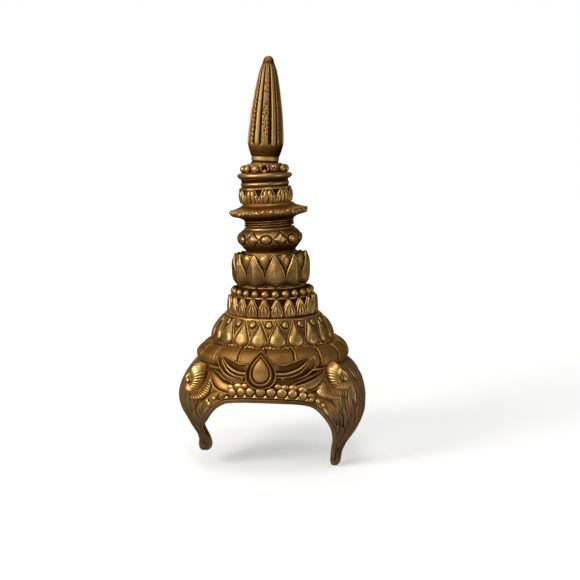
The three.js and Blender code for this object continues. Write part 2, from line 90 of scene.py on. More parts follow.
def on_cap(turn, height, out=0.0):
    """A point of the cap's outside: half an oval to each side, with the table's reach at that height to the
    front or back and to the side, grown by `out`."""
    right, left, front, back = (flowing(height, cap_rows[:, 0], cap_rows[:, k]) for k in (1, 2, 3, 4))
    side = np.where(turn < 0, right, left) + out
    reach = np.where(np.abs(turn) < np.pi / 2, front, back) + out
    return np.stack([side * np.sin(turn), -reach * np.cos(turn), height + 0 * turn], -1)


hem_right = np.array([
    # turn in degrees, height
    (0, -78.5), (11, -79.2), (21, -81.8), (26, -86), (30, -91), (35, -99.4), (40, -107.5), (45, -114),
    (46, -123), (46, -132), (48, -141), (53, -150), (60, -153.4), (68, -152.4), (75.4, -146), (78, -132),
    (82, -118), (91, -107), (103, -104), (115, -105.5), (130, -112), (147, -117.5), (164, -118.5),
    (180, -118.5),
])
hem_left = np.array([
    (0, -78.5), (12, -79.2), (24, -81.4), (32, -86), (37, -93), (42, -103), (47.5, -115.5), (53, -129),
    (60, -143), (65.5, -157), (67, -166), (71, -170.5), (78, -171), (83.5, -167), (86.5, -157),
    (89.5, -145), (94, -130), (100, -115), (108, -106.5), (118, -105.5), (131, -112), (147, -117.5),
    (164, -118.5), (180, -118.5),
])


def along_hem(place):
    """Turn and height of the hem at a place that counts table rows from the brow, below 0 on the right."""
    rows = np.arange(len(hem_left))
    right = [flowing(-place, rows, hem_right[:, k]) for k in (0, 1)]
    left = [flowing(place, rows, hem_left[:, k]) for k in (0, 1)]
    turn = np.where(place < 0, -right[0], left[0])
    return np.radians(turn), np.where(place < 0, right[1], left[1])


def outward(points):
    """Unit normals of a grid whose columns run round an axis and whose rows run up its outside: the cross
    product of the steps to the next column and to the next row."""
    along = np.roll(points, -1, 1) - np.roll(points, 1, 1)
    up = np.gradient(points, axis=0)
    normal = np.cross(along, up)
    return normal / np.maximum(np.linalg.norm(normal, axis=2, keepdims=True), 1e-9)


def blurred(field, reach, axis):
    """A running mean round a grid, along one axis: weights fall off as exp(-(steps / reach)^2 / 2)."""
    wave = np.fft.fftfreq(field.shape[axis])
    weight = np.exp(-2 * (np.pi * reach * wave) ** 2)
    shape = [1] * field.ndim
    shape[axis] = -1
    return np.fft.ifft(np.fft.fft(field, axis=axis) * weight.reshape(shape), axis=axis).real


def proud(points, normals, reach):
    """How far each point stands out from the mean of the surface within a reach, along its normal: above 0
    on edges and high points, and below 0 in grooves and hollows."""
    mean = points
    for axis in (0, 1):
        step = np.median(np.linalg.norm(np.diff(points, axis=axis), axis=2))
        mean = blurred(mean, reach / step, axis)
    return ((points - mean) * normals).sum(-1)


def wandering(points, size, depth):
    """The unevenness of a hand-finished casting: three crossed sine waves, `size` long and `depth` high."""
    x, y, z = np.moveaxis(points * (2 * np.pi / size), -1, 0)
    waves = np.sin(x + 0.7 * np.sin(z)) + np.sin(1.3 * y + 1.1 * np.sin(x)) + np.sin(0.9 * z + np.sin(y))
    return depth * waves / 3


def locks(lane, length):
    """Locks of hair as overlapping pointed scales. `lane` counts them across and `length` along. Each is a
    rounded ridge that narrows to its tip and rises towards it, with fine strands along it."""
    relief = np.zeros_like(lane)
    for shift in (0.0, 0.5):
        column = np.floor(lane + shift)
        across = 2 * (lane + shift - column) - 1
        start = np.sin(12.9898 * column + 4.1 * shift) * 43758.5453
        along = length + 2 * shift + start - np.floor(start)
        along = along - np.floor(along)
        width = 1.12 * (0.5 + 0.5 * eased(0, 0.3, along)) * np.clip(1 - along**2.2, 0, 1) ** 0.7 + 1e-3
        body = np.sqrt(np.clip(1 - (across / width) ** 2, 0, 1))
        strands = 0.1 * np.cos(4.5 * np.pi * across) * (1 - along)
        relief = np.maximum(relief, body * (0.45 + 0.55 * along + strands))
    return relief


def grid_part(points, wear_and_shade, wrap):
    """A closed surface over a grid: quads between neighbours, round and round in both directions where
    `wrap` is true, and otherwise with the first and last rows each drawn together in one point."""
    rows, columns = points.shape[:2]
    index = np.arange(rows * columns).reshape(rows, columns)
    after = np.roll(index, -1, 1)
    if wrap:
        quads = np.stack([index, after, np.roll(after, -1, 0), np.roll(index, -1, 0)], -1).reshape(-1, 4)
        return points.reshape(-1, 3), quads.tolist(), [value.ravel() for value in wear_and_shade]
    keep = slice(columns - 1, (rows - 1) * columns + 1)
    index, after = index - columns + 1, after - columns + 1
    quads = np.stack([index[1:-2], after[1:-2], after[2:-1], index[2:-1]], -1).reshape(-1, 4)
    low = np.stack([np.zeros(columns, int), after[1], index[1]], -1)
    high = np.stack([index[-2], after[-2], np.full(columns, (rows - 2) * columns + 1)], -1)
    faces = quads.tolist() + low.tolist() + high.tolist()
    return points.reshape(-1, 3)[keep], faces, [value.ravel()[keep] for value in wear_and_shade]


def cast(name, parts, material):
    """One mesh from several parts, each of points in millimetres, faces, and three values at each point: how
    far it stands out from its close and its wider surroundings, the latter lowered where shade is painted,
    and how richly it is gilded."""
    points, faces, start = [], [], 0
    for part_points, part_faces, _ in parts:
        faces += [[corner + start for corner in face] for face in part_faces]
        points.append(part_points)
        start += len(part_points)
    mesh = bpy.data.meshes.new(name)
    mesh.from_pydata(np.concatenate(points) * 0.001, [], faces)
    for k, layer in enumerate(("edge", "hollow", "gilt")):
        values = np.concatenate([part_wear_and_shade[k] for _, _, part_wear_and_shade in parts])
        mesh.attributes.new(layer, "FLOAT", "POINT").data.foreach_set("value", values.astype(np.float32))
    mesh.shade_smooth()
    mesh.materials.append(material)
    piece = bpy.data.objects.new(name, mesh)
    bpy.context.scene.collection.objects.link(piece)
    return piece


def add_node(tree, kind, settings=None, **inputs):
    """A node with its settings, and its inputs set to values or linked from other nodes' sockets. An input
    is named with _ for each space, and numbered inputs as i0, i1 and so on."""
    node = tree.nodes.new(kind)
    for key, value in (settings or {}).items():
        setattr(node, key, value)
    for key, value in inputs.items():
        socket = node.inputs[int(key[1:])] if key[1:].isdigit() else node.inputs[key.replace("_", " ")]
        if isinstance(value, bpy.types.NodeSocket):
            tree.links.new(value, socket)
        else:
            socket.default_value = value
    return node


def antique_group():
    """Antique gold paint: bronze, rubbed to gold where a point stands out and darkened with patina in the
    hollows, which also serves as painted shade there and wherever painted shade is given, both broken up by
    three sizes of noise, with a fine brushed and pitted skin."""
    tree = bpy.data.node_groups.new("antique_gold_paint", "ShaderNodeTree")
    sockets = (
        ("Gold", "NodeSocketColor"), ("Bronze", "NodeSocketColor"), ("Grime", "NodeSocketColor"),
        ("Rubbing", "NodeSocketFloat"), ("Dirt", "NodeSocketFloat"), ("Gloss", "NodeSocketFloat"),
    )
    for name, kind in sockets:
        tree.interface.new_socket(name=name, in_out="INPUT", socket_type=kind)
    for name, kind in (("Color", "NodeSocketColor"), ("Roughness", "NodeSocketFloat"),
                       ("Metallic", "NodeSocketFloat"), ("Height", "NodeSocketFloat")):
        tree.interface.new_socket(name=name, in_out="OUTPUT", socket_type=kind)
    given = tree.nodes.new("NodeGroupInput").outputs
    place = add_node(tree, "ShaderNodeTexCoord").outputs["Object"]
    edge = add_node(tree, "ShaderNodeAttribute", {"attribute_name": "edge"}).outputs["Fac"]
    hollow = add_node(tree, "ShaderNodeAttribute", {"attribute_name": "hollow"}).outputs["Fac"]

    def noise(scale, detail):
        made = add_node(tree, "ShaderNodeTexNoise", Vector=place, Scale=scale, Detail=detail, Roughness=0.6)
        return made.outputs["Fac"]

    def sums(first, factor, second):
        return add_node(tree, "ShaderNodeMath", {"operation": "MULTIPLY_ADD"}, i0=first, i1=factor,
                        i2=second).outputs[0]

    def between(value, low, high):
        return add_node(tree, "ShaderNodeMapRange", {"interpolation_type": "SMOOTHSTEP"}, i0=value, i1=low,
                        i2=high).outputs[0]

    def mixed(share, first, second):
        return add_node(tree, "ShaderNodeMix", {"data_type": "RGBA"}, i0=share, i6=first,
                        i7=second).outputs[2]

    grain, blotch, cloud = noise(900, 3), noise(170, 4), noise(28, 3)
    uneven = sums(blotch, 0.9, sums(cloud, 0.7, -0.8))
    standing = sums(edge, 2.6, sums(hollow, 0.42, 0.0))
    rubbed = between(sums(standing, given["Rubbing"], sums(uneven, 0.75, 0.0)), -0.25, 0.75)
    # The dark mask: patina in the hollows, and painted shade where undersides, recesses and given places were
    # marked.
    grime_and_shade = between(sums(standing, -1.0, sums(uneven, 0.5, 0.0)), -0.05, 0.85)
    grime_and_shade = add_node(tree, "ShaderNodeMath", {"operation": "MULTIPLY"}, i0=grime_and_shade,
                      i1=given["Dirt"]).outputs[0]
    color = mixed(grime_and_shade, mixed(rubbed, given["Bronze"], given["Gold"]), given["Grime"])
    dull = sums(grime_and_shade, 0.28, sums(rubbed, -0.07, sums(grain, 0.16, 0.41)))
    out = tree.nodes.new("NodeGroupOutput").inputs
    tree.links.new(color, out["Color"])
    tree.links.new(sums(dull, 1.0, given["Gloss"]), out["Roughness"])
    tree.links.new(sums(grime_and_shade, -0.08, 0.96), out["Metallic"])
    tree.links.new(sums(grain, 0.55, sums(blotch, 1.6, 0.0)), out["Height"])
    return tree


antique_paint = antique_group()


# The darkest colour and its strength paint both the patina in the hollows and the painted shade.
def painted(name, gold, bronze, grime=(0.06, 0.02, 0.002), rubbing=1.0, dirt=1.0, gloss=0.0, dull=None):
    """Gold paint over the casting, from the shared antique finish. Where `dull` gives two more colours, they
    take over from gold and bronze as the gilding runs out."""
    material = bpy.data.materials.new(name)
    material.use_nodes = True
    tree = material.node_tree
    shader = tree.nodes["Principled BSDF"]
    tints = [gold, bronze]
    if dull:
        gilt = add_node(tree, "ShaderNodeAttribute", {"attribute_name": "gilt"}).outputs["Fac"]
        tints = [add_node(tree, "ShaderNodeMix", {"data_type": "RGBA"}, i0=gilt, i6=(*dulled, 1),
                          i7=(*rich, 1)).outputs[2] for dulled, rich in zip(dull, tints)]
    else:
        tints = [(*tint, 1) for tint in tints]
    finish = add_node(tree, "ShaderNodeGroup", {"node_tree": antique_paint}, Gold=tints[0], Bronze=tints[1],
                      Grime=(*grime, 1), Rubbing=rubbing, Dirt=dirt, Gloss=gloss)
    bump = add_node(tree, "ShaderNodeBump", Strength=0.35, Distance=0.0004, Height=finish.outputs["Height"])
    for socket in ("Color", "Roughness", "Metallic"):
        target = "Base Color" if socket == "Color" else socket
        tree.links.new(finish.outputs[socket], shader.inputs[target])
    tree.links.new(bump.outputs["Normal"], shader.inputs["Normal"])
    shader.inputs["Specular Tint"].default_value = (1, 0.78, 0.52, 1)
    return material


cap_paint = painted(
    "cap_paint", gold=(0.52, 0.3, 0.095), bronze=(0.23, 0.105, 0.022), grime=(0.06, 0.022, 0.004),
    dull=((0.66, 0.41, 0.195), (0.3, 0.162, 0.06)), rubbing=1.4, dirt=1.15, gloss=0.08,
)

last_row = len(hem_left) - 1
fine = np.linspace(-last_row, last_row, 6000)
fine_turn, fine_height = along_hem(fine)
hem_steps = np.linalg.norm(np.diff(on_cap(fine_turn, fine_height), axis=0), axis=1)
turn_weight = 100
hem_run = np.concatenate([[0], np.cumsum(hem_steps + turn_weight * np.abs(np.diff(fine_turn)))])
columns = 760
place = np.interp(np.arange(columns) * hem_run[-1] / columns, hem_run, fine)
hem_turn, hem_height = along_hem(place)
top_turn = 0.7 * hem_turn + 0.3 * np.radians(180 * place / last_row)
shoulder = -43.0


def wall(step, out):
    """The cap's wall a share of the way from its shoulder to the hem, where columns sweep from their
    places at the shoulder to the hem's own points."""
    turn = top_turn + (hem_turn - top_turn) * step**1.5
    height = shoulder + (hem_height - shoulder) * step
    return turn, height, on_cap(turn, height, out)


def dome(radius, height):
    """A ring of the crown, level and round."""
    return np.stack([radius * np.sin(top_turn), -radius * np.cos(top_turn), height + 0 * top_turn], -1)


inside = [dome(r, z) for r, z in ((0, 0), (24, -2.6), (45, -9), (63, -22), (73.6, -36), (82, -50))]
inside += [wall(step, -5.0)[2] for step in (0.24, 0.4, 0.6, 0.8, 0.9, 0.96, 0.99)]
inside += [wall(1.0, -4.4)[2]]
steps = 1 - np.linspace(0, 1, 96)
turns, heights, outside = (np.array(rows) for rows in zip(*(wall(step, 0.0) for step in steps)))
crown = [dome(r, z) for r, z in ((84, -42.6), (80, -41), (66.4, -18.5), (48, -5.5), (0, 4))]
cap_base = np.concatenate([np.array(inside), outside, np.array(crown)])

start, along = outside[0], np.roll(outside[0], -2, 0) - outside[0]
nearest = np.full(turns.shape, 1e9)
for few in np.array_split(np.arange(0, len(place), 2), 14):
    away = outside[:, :, None] - start[few]
    share = np.clip((away * along[few]).sum(-1) / (along[few] ** 2).sum(-1), 0, 1)
    nearest = np.minimum(nearest, np.linalg.norm(away - share[..., None] * along[few], axis=3).min(2))

off_front = np.degrees(np.abs(turns))
right_foot, left_foot, fan, lock_width = 62, 77, 1.45, 5.4
foot_turn = np.where(turns < 0, right_foot, left_foot)
drop = np.clip((-60 - heights) / 100, 0, 1) * eased(170, 90, off_front)
sway = 0.3 * np.sin(2 * np.pi * heights / 58 + off_front / 11)
sway += 0.12 * np.sin(2 * np.pi * heights / 27 - off_front / 6)
fanned = foot_turn + (off_front - foot_turn) * (fan + 0.9 * drop)
whole_round = (right_foot + left_foot) * (1 - fan) + 360 * fan
lane = np.where(turns < 0, whole_round - fanned, fanned) / lock_width + sway
over_brow = eased(46, 26, off_front) * eased(-104, -86, heights)
rim_width = 1.6 + 3.2 * over_brow
hairy = eased(40, 54, off_front + 0.6 * np.clip(-heights - 76, 0, 40)) * eased(0.4, 3, nearest - rim_width)
hair = 1.8 * locks(lane, -heights / 42) + 2.2 * locks(lane / 2.7 + 7.3, -heights / 78)
hair += 0.16 * np.cos(2 * np.pi * (2.3 * lane + 0.3 * np.sin(heights / 9)))
hair = blurred(blurred(hair, 0.8, 0), 0.6, 1)
cap_relief = hairy * (hair - 1.7)
cap_relief += 0.7 * eased(0.4, -0.6, nearest - rim_width) - 0.6 * over_brow * ridge(nearest - 5.1, 0.7)
cap_relief -= 1.2 * np.clip(1 - nearest / 1.6, 0, 1) ** 2
frieze = eased(66, 34, off_front) * eased(15, 20, nearest)
cap_relief -= 1.6 * frieze
cap_relief *= eased(0, 0.04, steps[:, None])

relief = np.zeros(cap_base.shape[:2])
relief[len(inside):-len(crown)] = cap_relief
normals = outward(cap_base)
cap_points = cap_base + normals * (relief + wandering(cap_base, 60, 0.35))[..., None]
edge, hollow = proud(cap_points, normals, 1.0), proud(cap_points, normals, 3.6)
# Painted shade: the whole inside of the cap is painted dark.
hollow[:len(inside)] = -2.2
gilt = np.zeros_like(edge)
shaded = slice(len(inside), -len(crown))
gilt[shaded] = eased(64, 40, off_front) * eased(-104, -84, heights) * eased(3, 6, nearest)
# Painted shade on the frieze under the roll, on the top rows that the roll overhangs, on the hem under the
# brow band and along the hem's edge; the top rows are left unrubbed.
hollow[shaded] -= 0.5 * frieze * eased(-74, -52, heights) + 1.5 * eased(0.14, 0.02, steps[:, None])
hollow[shaded] -= 1.3 * over_brow * eased(5.8, 4.6, nearest) + 0.9 * eased(1.8, 0.3, nearest)
edge[shaded] *= eased(0.01, 0.08, steps[:, None])
cap = cast("cap_casting", [grid_part(cap_points, (edge, hollow, gilt), wrap=False)], cap_paint)
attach(cap, "root")
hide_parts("cap")


# Leaf roll
# Seventeen broad leaves that roll over the shoulder of the cap, smooth and full, each with a thin raised
# edge. They are cast in one ring, flatter on the wearer's right, and painted a middling gold.

def ring_outline(corners, spacing, soften):
    """A tier's outside from its foot to its top: straight lines between corners, cut at an even spacing,
    with the corners rounded by a running mean of radius `soften`."""
    corners = np.array(corners, float)
    run = np.concatenate([[0], np.cumsum(np.linalg.norm(np.diff(corners, axis=0), axis=1))])
    fine = np.linspace(0, run[-1], int(run[-1] / 0.1))
    line = np.stack([np.interp(fine, run, corners[:, k]) for k in (0, 1)], -1)
    pad = int(4 * soften / 0.1) + 1
    line = np.concatenate([2 * line[0] - line[pad:0:-1], line, 2 * line[-1] - line[-2:-pad - 2:-1]])
    line = blurred(line, soften / 0.1, 0)[pad:-pad]
    return line[np.linspace(0, len(line) - 1, int(run[-1] / spacing)).astype(int)]


def swept(corners, spacing, soften, bore, columns):
    """A tier's outside and then its bore, carried round the axis. Gives the grids of turn, height and radius,
    the points, their normals, and a grid that is 1 on the outside and 0 in the bore, whose rows come last."""
    outline = ring_outline(corners, spacing, soften)
    turn = 2 * np.pi * np.arange(columns) / columns
    loop = np.concatenate([outline, np.array(bore, float)])
    radius, height = np.broadcast_arrays(*(loop[:, k, None] + 0 * turn for k in (0, 1)))
    points = np.stack([radius * np.sin(turn), -radius * np.cos(turn), height], -1)
    round_the_loop = np.concatenate([points[-1:], points, points[:1]])
    outer = height * 0 + (np.arange(len(loop)) < len(outline))[:, None]
    return turn + 0 * radius, height, radius, points, outward(round_the_loop)[1:-1], outer


def stood(points, seat, lean):
    """A tier's own points set on its seat (x, z) and tilted by its lean in degrees to the wearer's right."""
    cos, sin = math.cos(math.radians(lean)), math.sin(math.radians(lean))
    x, y, z = np.moveaxis(points, -1, 0)
    return np.stack([seat[0] + x * cos - z * sin, y, seat[1] + x * sin + z * cos], -1)


def raised(points, normals, relief, seat, lean, grime_and_shade=0.0, gilt=1.0):
    """A tier's surface moved out along its normals by its relief and a little unevenness, set on its seat,
    with how it is rubbed and darkened worked out from the finished surface. Undersides are darkened as
    painted shade, and so are the places given to darken, mostly as painted shade."""
    points = points + normals * (relief + wandering(points, 43, 0.3))[..., None]
    # Painted shade: surfaces that face down, and the places each call gives, are darkened.
    hollow = proud(points, normals, 3.2) - 1.5 * eased(0.15, 0.9, -normals[..., 2]) - grime_and_shade
    wear_and_shade = (proud(points, normals, 0.8), hollow, np.full(relief.shape, gilt))
    return grid_part(stood(points, seat, lean), wear_and_shade, wrap=True)


def off_middle(turn, count, first):
    """Signed turn from the middle of the nearest of `count` equal leaves, one of them at `first` degrees."""
    pitch = 2 * np.pi / count
    return (turn - math.radians(first) + pitch / 2) % pitch - pitch / 2


def from_outline(across, height, outline):
    """Distance from a leaf's outline, below 0 inside it: how far a point lies past the leaf's half width at
    its height, square to the outline, and past its ends the distance from the nearer end."""
    heights, widths = np.array(outline, float).T
    level = np.clip(height, heights[0], heights[-1])
    half = flowing(level, heights, widths)
    slope = (flowing(level + 0.1, heights, widths) - flowing(level - 0.1, heights, widths)) / 0.2
    beside = (np.abs(across) - half) / np.sqrt(1 + slope**2)
    beyond = np.hypot(np.maximum(np.abs(across) - half, 0), height - level)
    return np.where(height == level, beside, beyond)


tier_paint = painted("tier_paint", gold=(0.63, 0.385, 0.14), bronze=(0.27, 0.116, 0.018))
roll_paint = painted("roll_paint", gold=(0.5, 0.283, 0.087), bronze=(0.26, 0.115, 0.019), gloss=0.17)
turn, height, radius, points, normals, outer = swept(
    [(84.2, 0), (87.4, 0.5), (89, 3.4), (89.4, 7.4), (88.6, 11.5), (86.8, 15.2), (84, 18.6), (80.8, 21),
     (77.6, 21.9), (75, 21.4), (73, 20.2), (71.4, 19.8)],
    spacing=0.85, soften=1.0, bore=[(68.6, 19.6), (75, 11), (82.6, 0)], columns=680)
count, first = 17, 14
leaf = [(-0.5, 13.6), (4, 15.6), (9, 16), (14, 15.6), (19, 14.8), (22.5, 13.6)]
across = off_middle(turn, count, first) * radius
gap = from_outline(across, height, leaf)
relief = 1.1 * np.sqrt(np.clip(-gap / 9, 0, 1))
between = off_middle(turn, count, first + 180 / count) * radius
relief += 1.1 * ridge(between - 1.0, 0.8) - 1.3 * ridge(between + 1.0, 0.9)
relief -= 1.6 * ridge(between, 0.9) * eased(16, 19, height) + 2.2 * ridge(between, 1.6) * eased(6, 1, height)
low_shoulder = ridge(off_middle(turn, 1, -78), 0.55)
relief -= 4.2 * low_shoulder * eased(8, 16, height)
oval = (1.022, 1, 1)
points = points * oval
# Painted shade: the top of the roll, under the petal tier, is darkened.
shade = 0.8 * eased(17, 20.5, height)
body = raised(points, normals, outer * relief, (0, -42.7), 0, grime_and_shade=shade)
roll = cast("leaf_roll_casting", [body], roll_paint)
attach(roll, "root")
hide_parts("leaf_roll")


# Petal tier
# A lotus of twenty drop-shaped petals under a thin rim. Each has a full belly inside a fine raised
# outline, and a round stud fills the space between two tips.

turn, height, radius, points, normals, outer = swept(
    [(69, -2.6), (71, -2.4), (71.6, -0.6), (71.2, 4), (69.4, 10.6), (66, 17), (61.6, 24), (58.6, 27.9),
     (58.9, 28.7), (58.3, 29.6), (57, 30)],
    spacing=0.62, soften=0.5, bore=[(46, 30), (57, 15), (67, -2.6)], columns=660)
petal = [(-1.8, 5.4), (0.2, 8.6), (3.4, 10.5), (7, 10.6), (11, 9.4), (15.5, 7), (20, 4.4), (24.5, 1.8),
         (27.6, 0.2)]
count, first = 20, 13.3
gap = from_outline(off_middle(turn, count, first) * radius, height, petal)
belly = (1 - (1 - np.clip((-gap - 0.5) / 6.8, 0, 1)) ** 2) ** 0.8
relief = 3.6 * belly + 1.2 * ridge(gap, 0.5) - 0.5 * ridge(gap + 0.9, 0.5)
between = np.hypot(off_middle(turn, count, first + 180 / count) * radius, height - 23.8)
stud = np.clip(1.7 - 0.9 * (between / 3.2) ** 4, 0, 1.6) * (between < 3.9)
relief += stud - 0.7 * ridge(between - 4.1, 0.5)
relief *= eased(28.2, 27.4, height)
crimp = ridge(height + 1.6, 0.8)
relief += (1.2 + 0.7 * np.cos(100 * turn + 2 * np.sin(9 * turn))) * crimp
body = raised(points, normals, outer * relief, (0, -18.3), 0, grime_and_shade=-0.9 * crimp)
petals = cast("petal_tier_casting", [body], tier_paint)
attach(petals, "root")
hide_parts("petal_tier")


# Beaded tier
# Twenty-two ridged leaves stand round this ring, with the points of a second row between them. Twenty-four
# round beads sit over them on a sloping shoulder, which is darkened between the beads as painted shade.

def bead(centre, out, radius, depth, tall=1.0, flat=1.0):
    """A bead with its outer pole along `out`: rings of radius sin(a), `tall` times as high as wide, at a
    depth of cos(a)^flat, from the inner pole to the outer. It is rubbed bright at the pole and darkened at
    its foot as painted shade where it meets the surface."""
    sides, bands = 26, 11
    angle = np.linspace(np.pi, 0, bands)[:, None]
    around = 2 * np.pi * np.arange(sides) / sides
    out = np.array(out, float) / np.linalg.norm(out)
    side = np.cross((0.0, 0.0, 1.0), out)
    side /= np.linalg.norm(side)
    up = np.cross(out, side)
    lift = np.sign(np.cos(angle)) * np.abs(np.cos(angle)) ** flat + 0 * around
    girth = np.sin(angle)
    points = np.array(centre) + depth * lift[..., None] * out
    points = points + radius * ((girth * np.cos(around))[..., None] * side
                                + tall * (girth * np.sin(around))[..., None] * up)
    # Painted shade darkens the foot of each bead.
    wear_and_shade = (0.22 * lift, -1.6 + 2.6 * eased(-0.1, 0.75, lift), np.ones(lift.shape))
    return grid_part(points, wear_and_shade, wrap=False)


def ring_of_beads(turns, reach, height, radius, depth, seat, lean, tilt=0.0):
    """Beads set round a tier at turns in degrees. They face out, and up by `tilt`."""
    made = []
    for turn in np.radians(turns):
        out = np.array([math.sin(turn), -math.cos(turn), tilt])
        centre = stood(np.array([reach * out[0], reach * out[1], height]), seat, lean)
        made.append(bead(centre, out, radius, depth))
    return made


seat, lean = (0, 12.83), 0.9
turn, height, radius, points, normals, outer = swept(
    [(50.8, -0.3), (52.4, 0.1), (52.9, 2), (52.9, 7), (52.4, 13), (51.8, 18.2), (51, 20), (48.6, 22.4),
     (45.6, 24.6), (42.8, 27.4), (40.6, 29.8), (40.2, 31), (40.8, 32.2), (40.2, 33.1), (38, 33.2)],
    spacing=0.6, soften=0.4, bore=[(31, 33), (37, 16), (43, -0.3)], columns=528)
count, first = 22, -2.2
across = off_middle(turn, count, first) * radius
leaf = [(0.4, 5.6), (3, 6.9), (6.4, 7.0), (10, 5.9), (14, 4.1), (18, 1.9), (20.6, 0.1)]
gap = from_outline(across, height, leaf)
relief = 2.2 * eased(0.3, -0.8, gap) + 0.4 * ridge(gap + 0.9, 0.5)
relief -= (ridge(gap + 2.5, 0.45) + ridge(across, 0.45)) * eased(15, 12, height)
behind = np.abs(off_middle(turn, count, first + 180 / count) * radius)
vee = behind - 0.5 * (height - 9.5)
sunk = eased(9, 13, height) * eased(0.2, -0.9, vee)
back = 0.7 * ridge(vee - 0.4, 0.5) * eased(10, 12, height) - 3.2 * sunk
relief = np.where(gap < 0.2, relief, back * eased(0.2, 0.9, gap))
relief *= eased(21.6, 20.4, height)
beads = ring_of_beads(
    [-2.4 + 15 * k for k in range(24)], reach=46.2, height=26.0, radius=4.7, depth=4.6, seat=seat, lean=lean)
# Painted shade on the shoulder between the beads and between the leaf tops under them.
channel = 2.2 * eased(19.4, 21, height) * eased(31.4, 30.4, height)
channel += 1.4 * eased(0.4, 1.2, gap) * eased(15, 18, height) * eased(21, 20, height)
ring_body = raised(points, normals, outer * relief, seat, lean, grime_and_shade=channel)
beaded = cast("beaded_tier_casting", [ring_body] + beads, tier_paint)
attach(beaded, "root")
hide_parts("beaded_tier")


# Leaf drum
# A cup of eleven tall keeled leaves, cross-hatched on their faces, with the round tip of a smaller leaf
# between each two. Its scalloped edge stands free of the neck inside it.

seat, lean = (-0.82, 46.55), 1.5
turn, height, radius, points, normals, outer = swept(
    [(36, -0.2), (37.4, 0), (37.8, 2), (39.4, 3.2), (41.4, 4.6), (42.9, 7.6), (43.6, 12), (43.9, 20),
     (44, 28), (43.8, 34), (43.2, 37), (42, 38.4), (40.8, 37.2), (40.4, 35.4), (37, 34.6), (32, 34.8),
     (30.9, 35.6), (31, 37.6), (29.6, 38.6)],
    spacing=0.66, soften=0.5, bore=[(26, 38), (26, 18), (26, -0.2)], columns=440)
big = [(-0.5, 10.6), (4, 11.9), (10, 12.3), (17, 11), (24, 8.3), (30, 5.3), (35, 2.8), (38.4, 0.1)]
small = [(22.4, 0.4), (25.5, 3.2), (29.5, 5.2), (33.5, 5.2), (36.6, 3), (38, 0.4)]
count, first, girth = 11, 14.3, 45
big_across = off_middle(turn, count, first) * girth
small_across = off_middle(turn, count, first + 180 / count) * girth
rim = 38.6 - 2.0 * (np.minimum(np.abs(big_across), np.abs(small_across)) / 6.4) ** 1.3
rim = blurred(rim, 1.5, 1)
waist, plain_rim = 18, 38.4
free = (radius > 40.2) & (height > waist)
height = np.where(free, waist + (height - waist) * (rim - waist) / (plain_rim - waist), height)
points = np.stack([points[..., 0], points[..., 1], height], -1)
outer = (np.arange(len(height)) < 0.7 * outer[:, 0].sum())[:, None] & (radius > 36)
gap = from_outline(big_across, height, big)
keel = -0.5 + 5.2 * (1 - np.abs(big_across) / 12.5) * (0.3 + 0.7 * eased(39, 25, height))
hatch = np.abs(np.sin(1.2 * (big_across + height))) * np.abs(np.sin(1.2 * (big_across - height)))
relief = (keel - 0.8 * eased(0.5, 0.1, hatch) * eased(-0.8, -1.8, gap)) * eased(0.2, -0.8, gap)
relief += 0.5 * ridge(gap + 0.4, 0.5)
second = from_outline(small_across, height, small)
tip = 1.5 * np.sqrt(np.clip(-second / 4, 0, 1)) + 0.3 * ridge(second + 0.3, 0.5) - 0.8
relief = np.where(gap < 0.3, relief, tip * eased(0.3, 1.2, gap)) - 0.9 * ridge(gap - 0.5, 0.6)
relief *= outer
# Painted shade at the foot of the cup and on the neck inside its scalloped edge.
foot = 1.6 * eased(4.4, 3, height) + 1.3 * eased(41.4, 40, radius) * eased(30, 33, height)
body = raised(points, normals, relief, seat, lean, grime_and_shade=foot)
drum = cast("leaf_drum_casting", [body], tier_paint)
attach(drum, "root")
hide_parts("leaf_drum")


# Bulb
# A swelling cushion over a plain neck. Six oval bosses take turns with six raised diamonds, each in a
# ring painted dark as shade, and the spaces over them are stippled. The bulb is also darkened as painted
# shade towards the bottom and on the wearer's left.

seat, lean = (-2.23, 85.31), 2.4
turn, height, radius, points, normals, outer = swept(
    [(28.4, -0.2), (30, 0), (30, 2.4), (31.4, 3.8), (33.8, 6.8), (36.2, 10.6), (37.5, 14.6), (37.7, 18.4),
     (36.4, 22.4), (33.8, 25.6), (31.6, 27.2), (30.4, 27.8), (30.8, 28.6), (30.4, 29.6), (29, 29.8)],
    spacing=0.55, soften=0.6, bore=[(22, 29.8), (22, 15), (22, -0.2)], columns=360)


def nearest_place(turn, places):
    """Signed turn from the nearest of some places round a ring, which are given in degrees."""
    off = (turn[..., None] - np.radians(places) + np.pi) % (2 * np.pi) - np.pi
    pick = np.abs(off).argmin(-1)
    return np.take_along_axis(off, pick[..., None], -1)[..., 0]


girth = 38
across, up = nearest_place(turn, [1.2, 53.8, 113, 180, -113, -53.4]) * girth, height - 16.6
spread = np.hypot(across / 6.0, up / 4.8)
relief = 2.5 * np.sqrt(np.clip(1 - spread**2, 0, 1)) - 1.0 * ridge(spread - 1.18, 0.14)
across, up = nearest_place(turn, [29.2, 84, 146, -147, -84, -26.2]) * girth, height - 16.4
corner = (np.abs(across) + np.abs(up)) / 8.8
relief += 3.0 * np.clip(1 - corner, 0, 0.62) - 1.0 * ridge(corner - 1.08, 0.09)
stipple = 0.2 * np.sin(130 * turn + 2.2 * np.sin(2.1 * height)) * np.sin(4.2 * height + 2 * np.sin(61 * turn))
relief += stipple * eased(17, 19.5, height) * eased(27, 25.5, height) * (corner > 1.15) * (spread > 1.3)
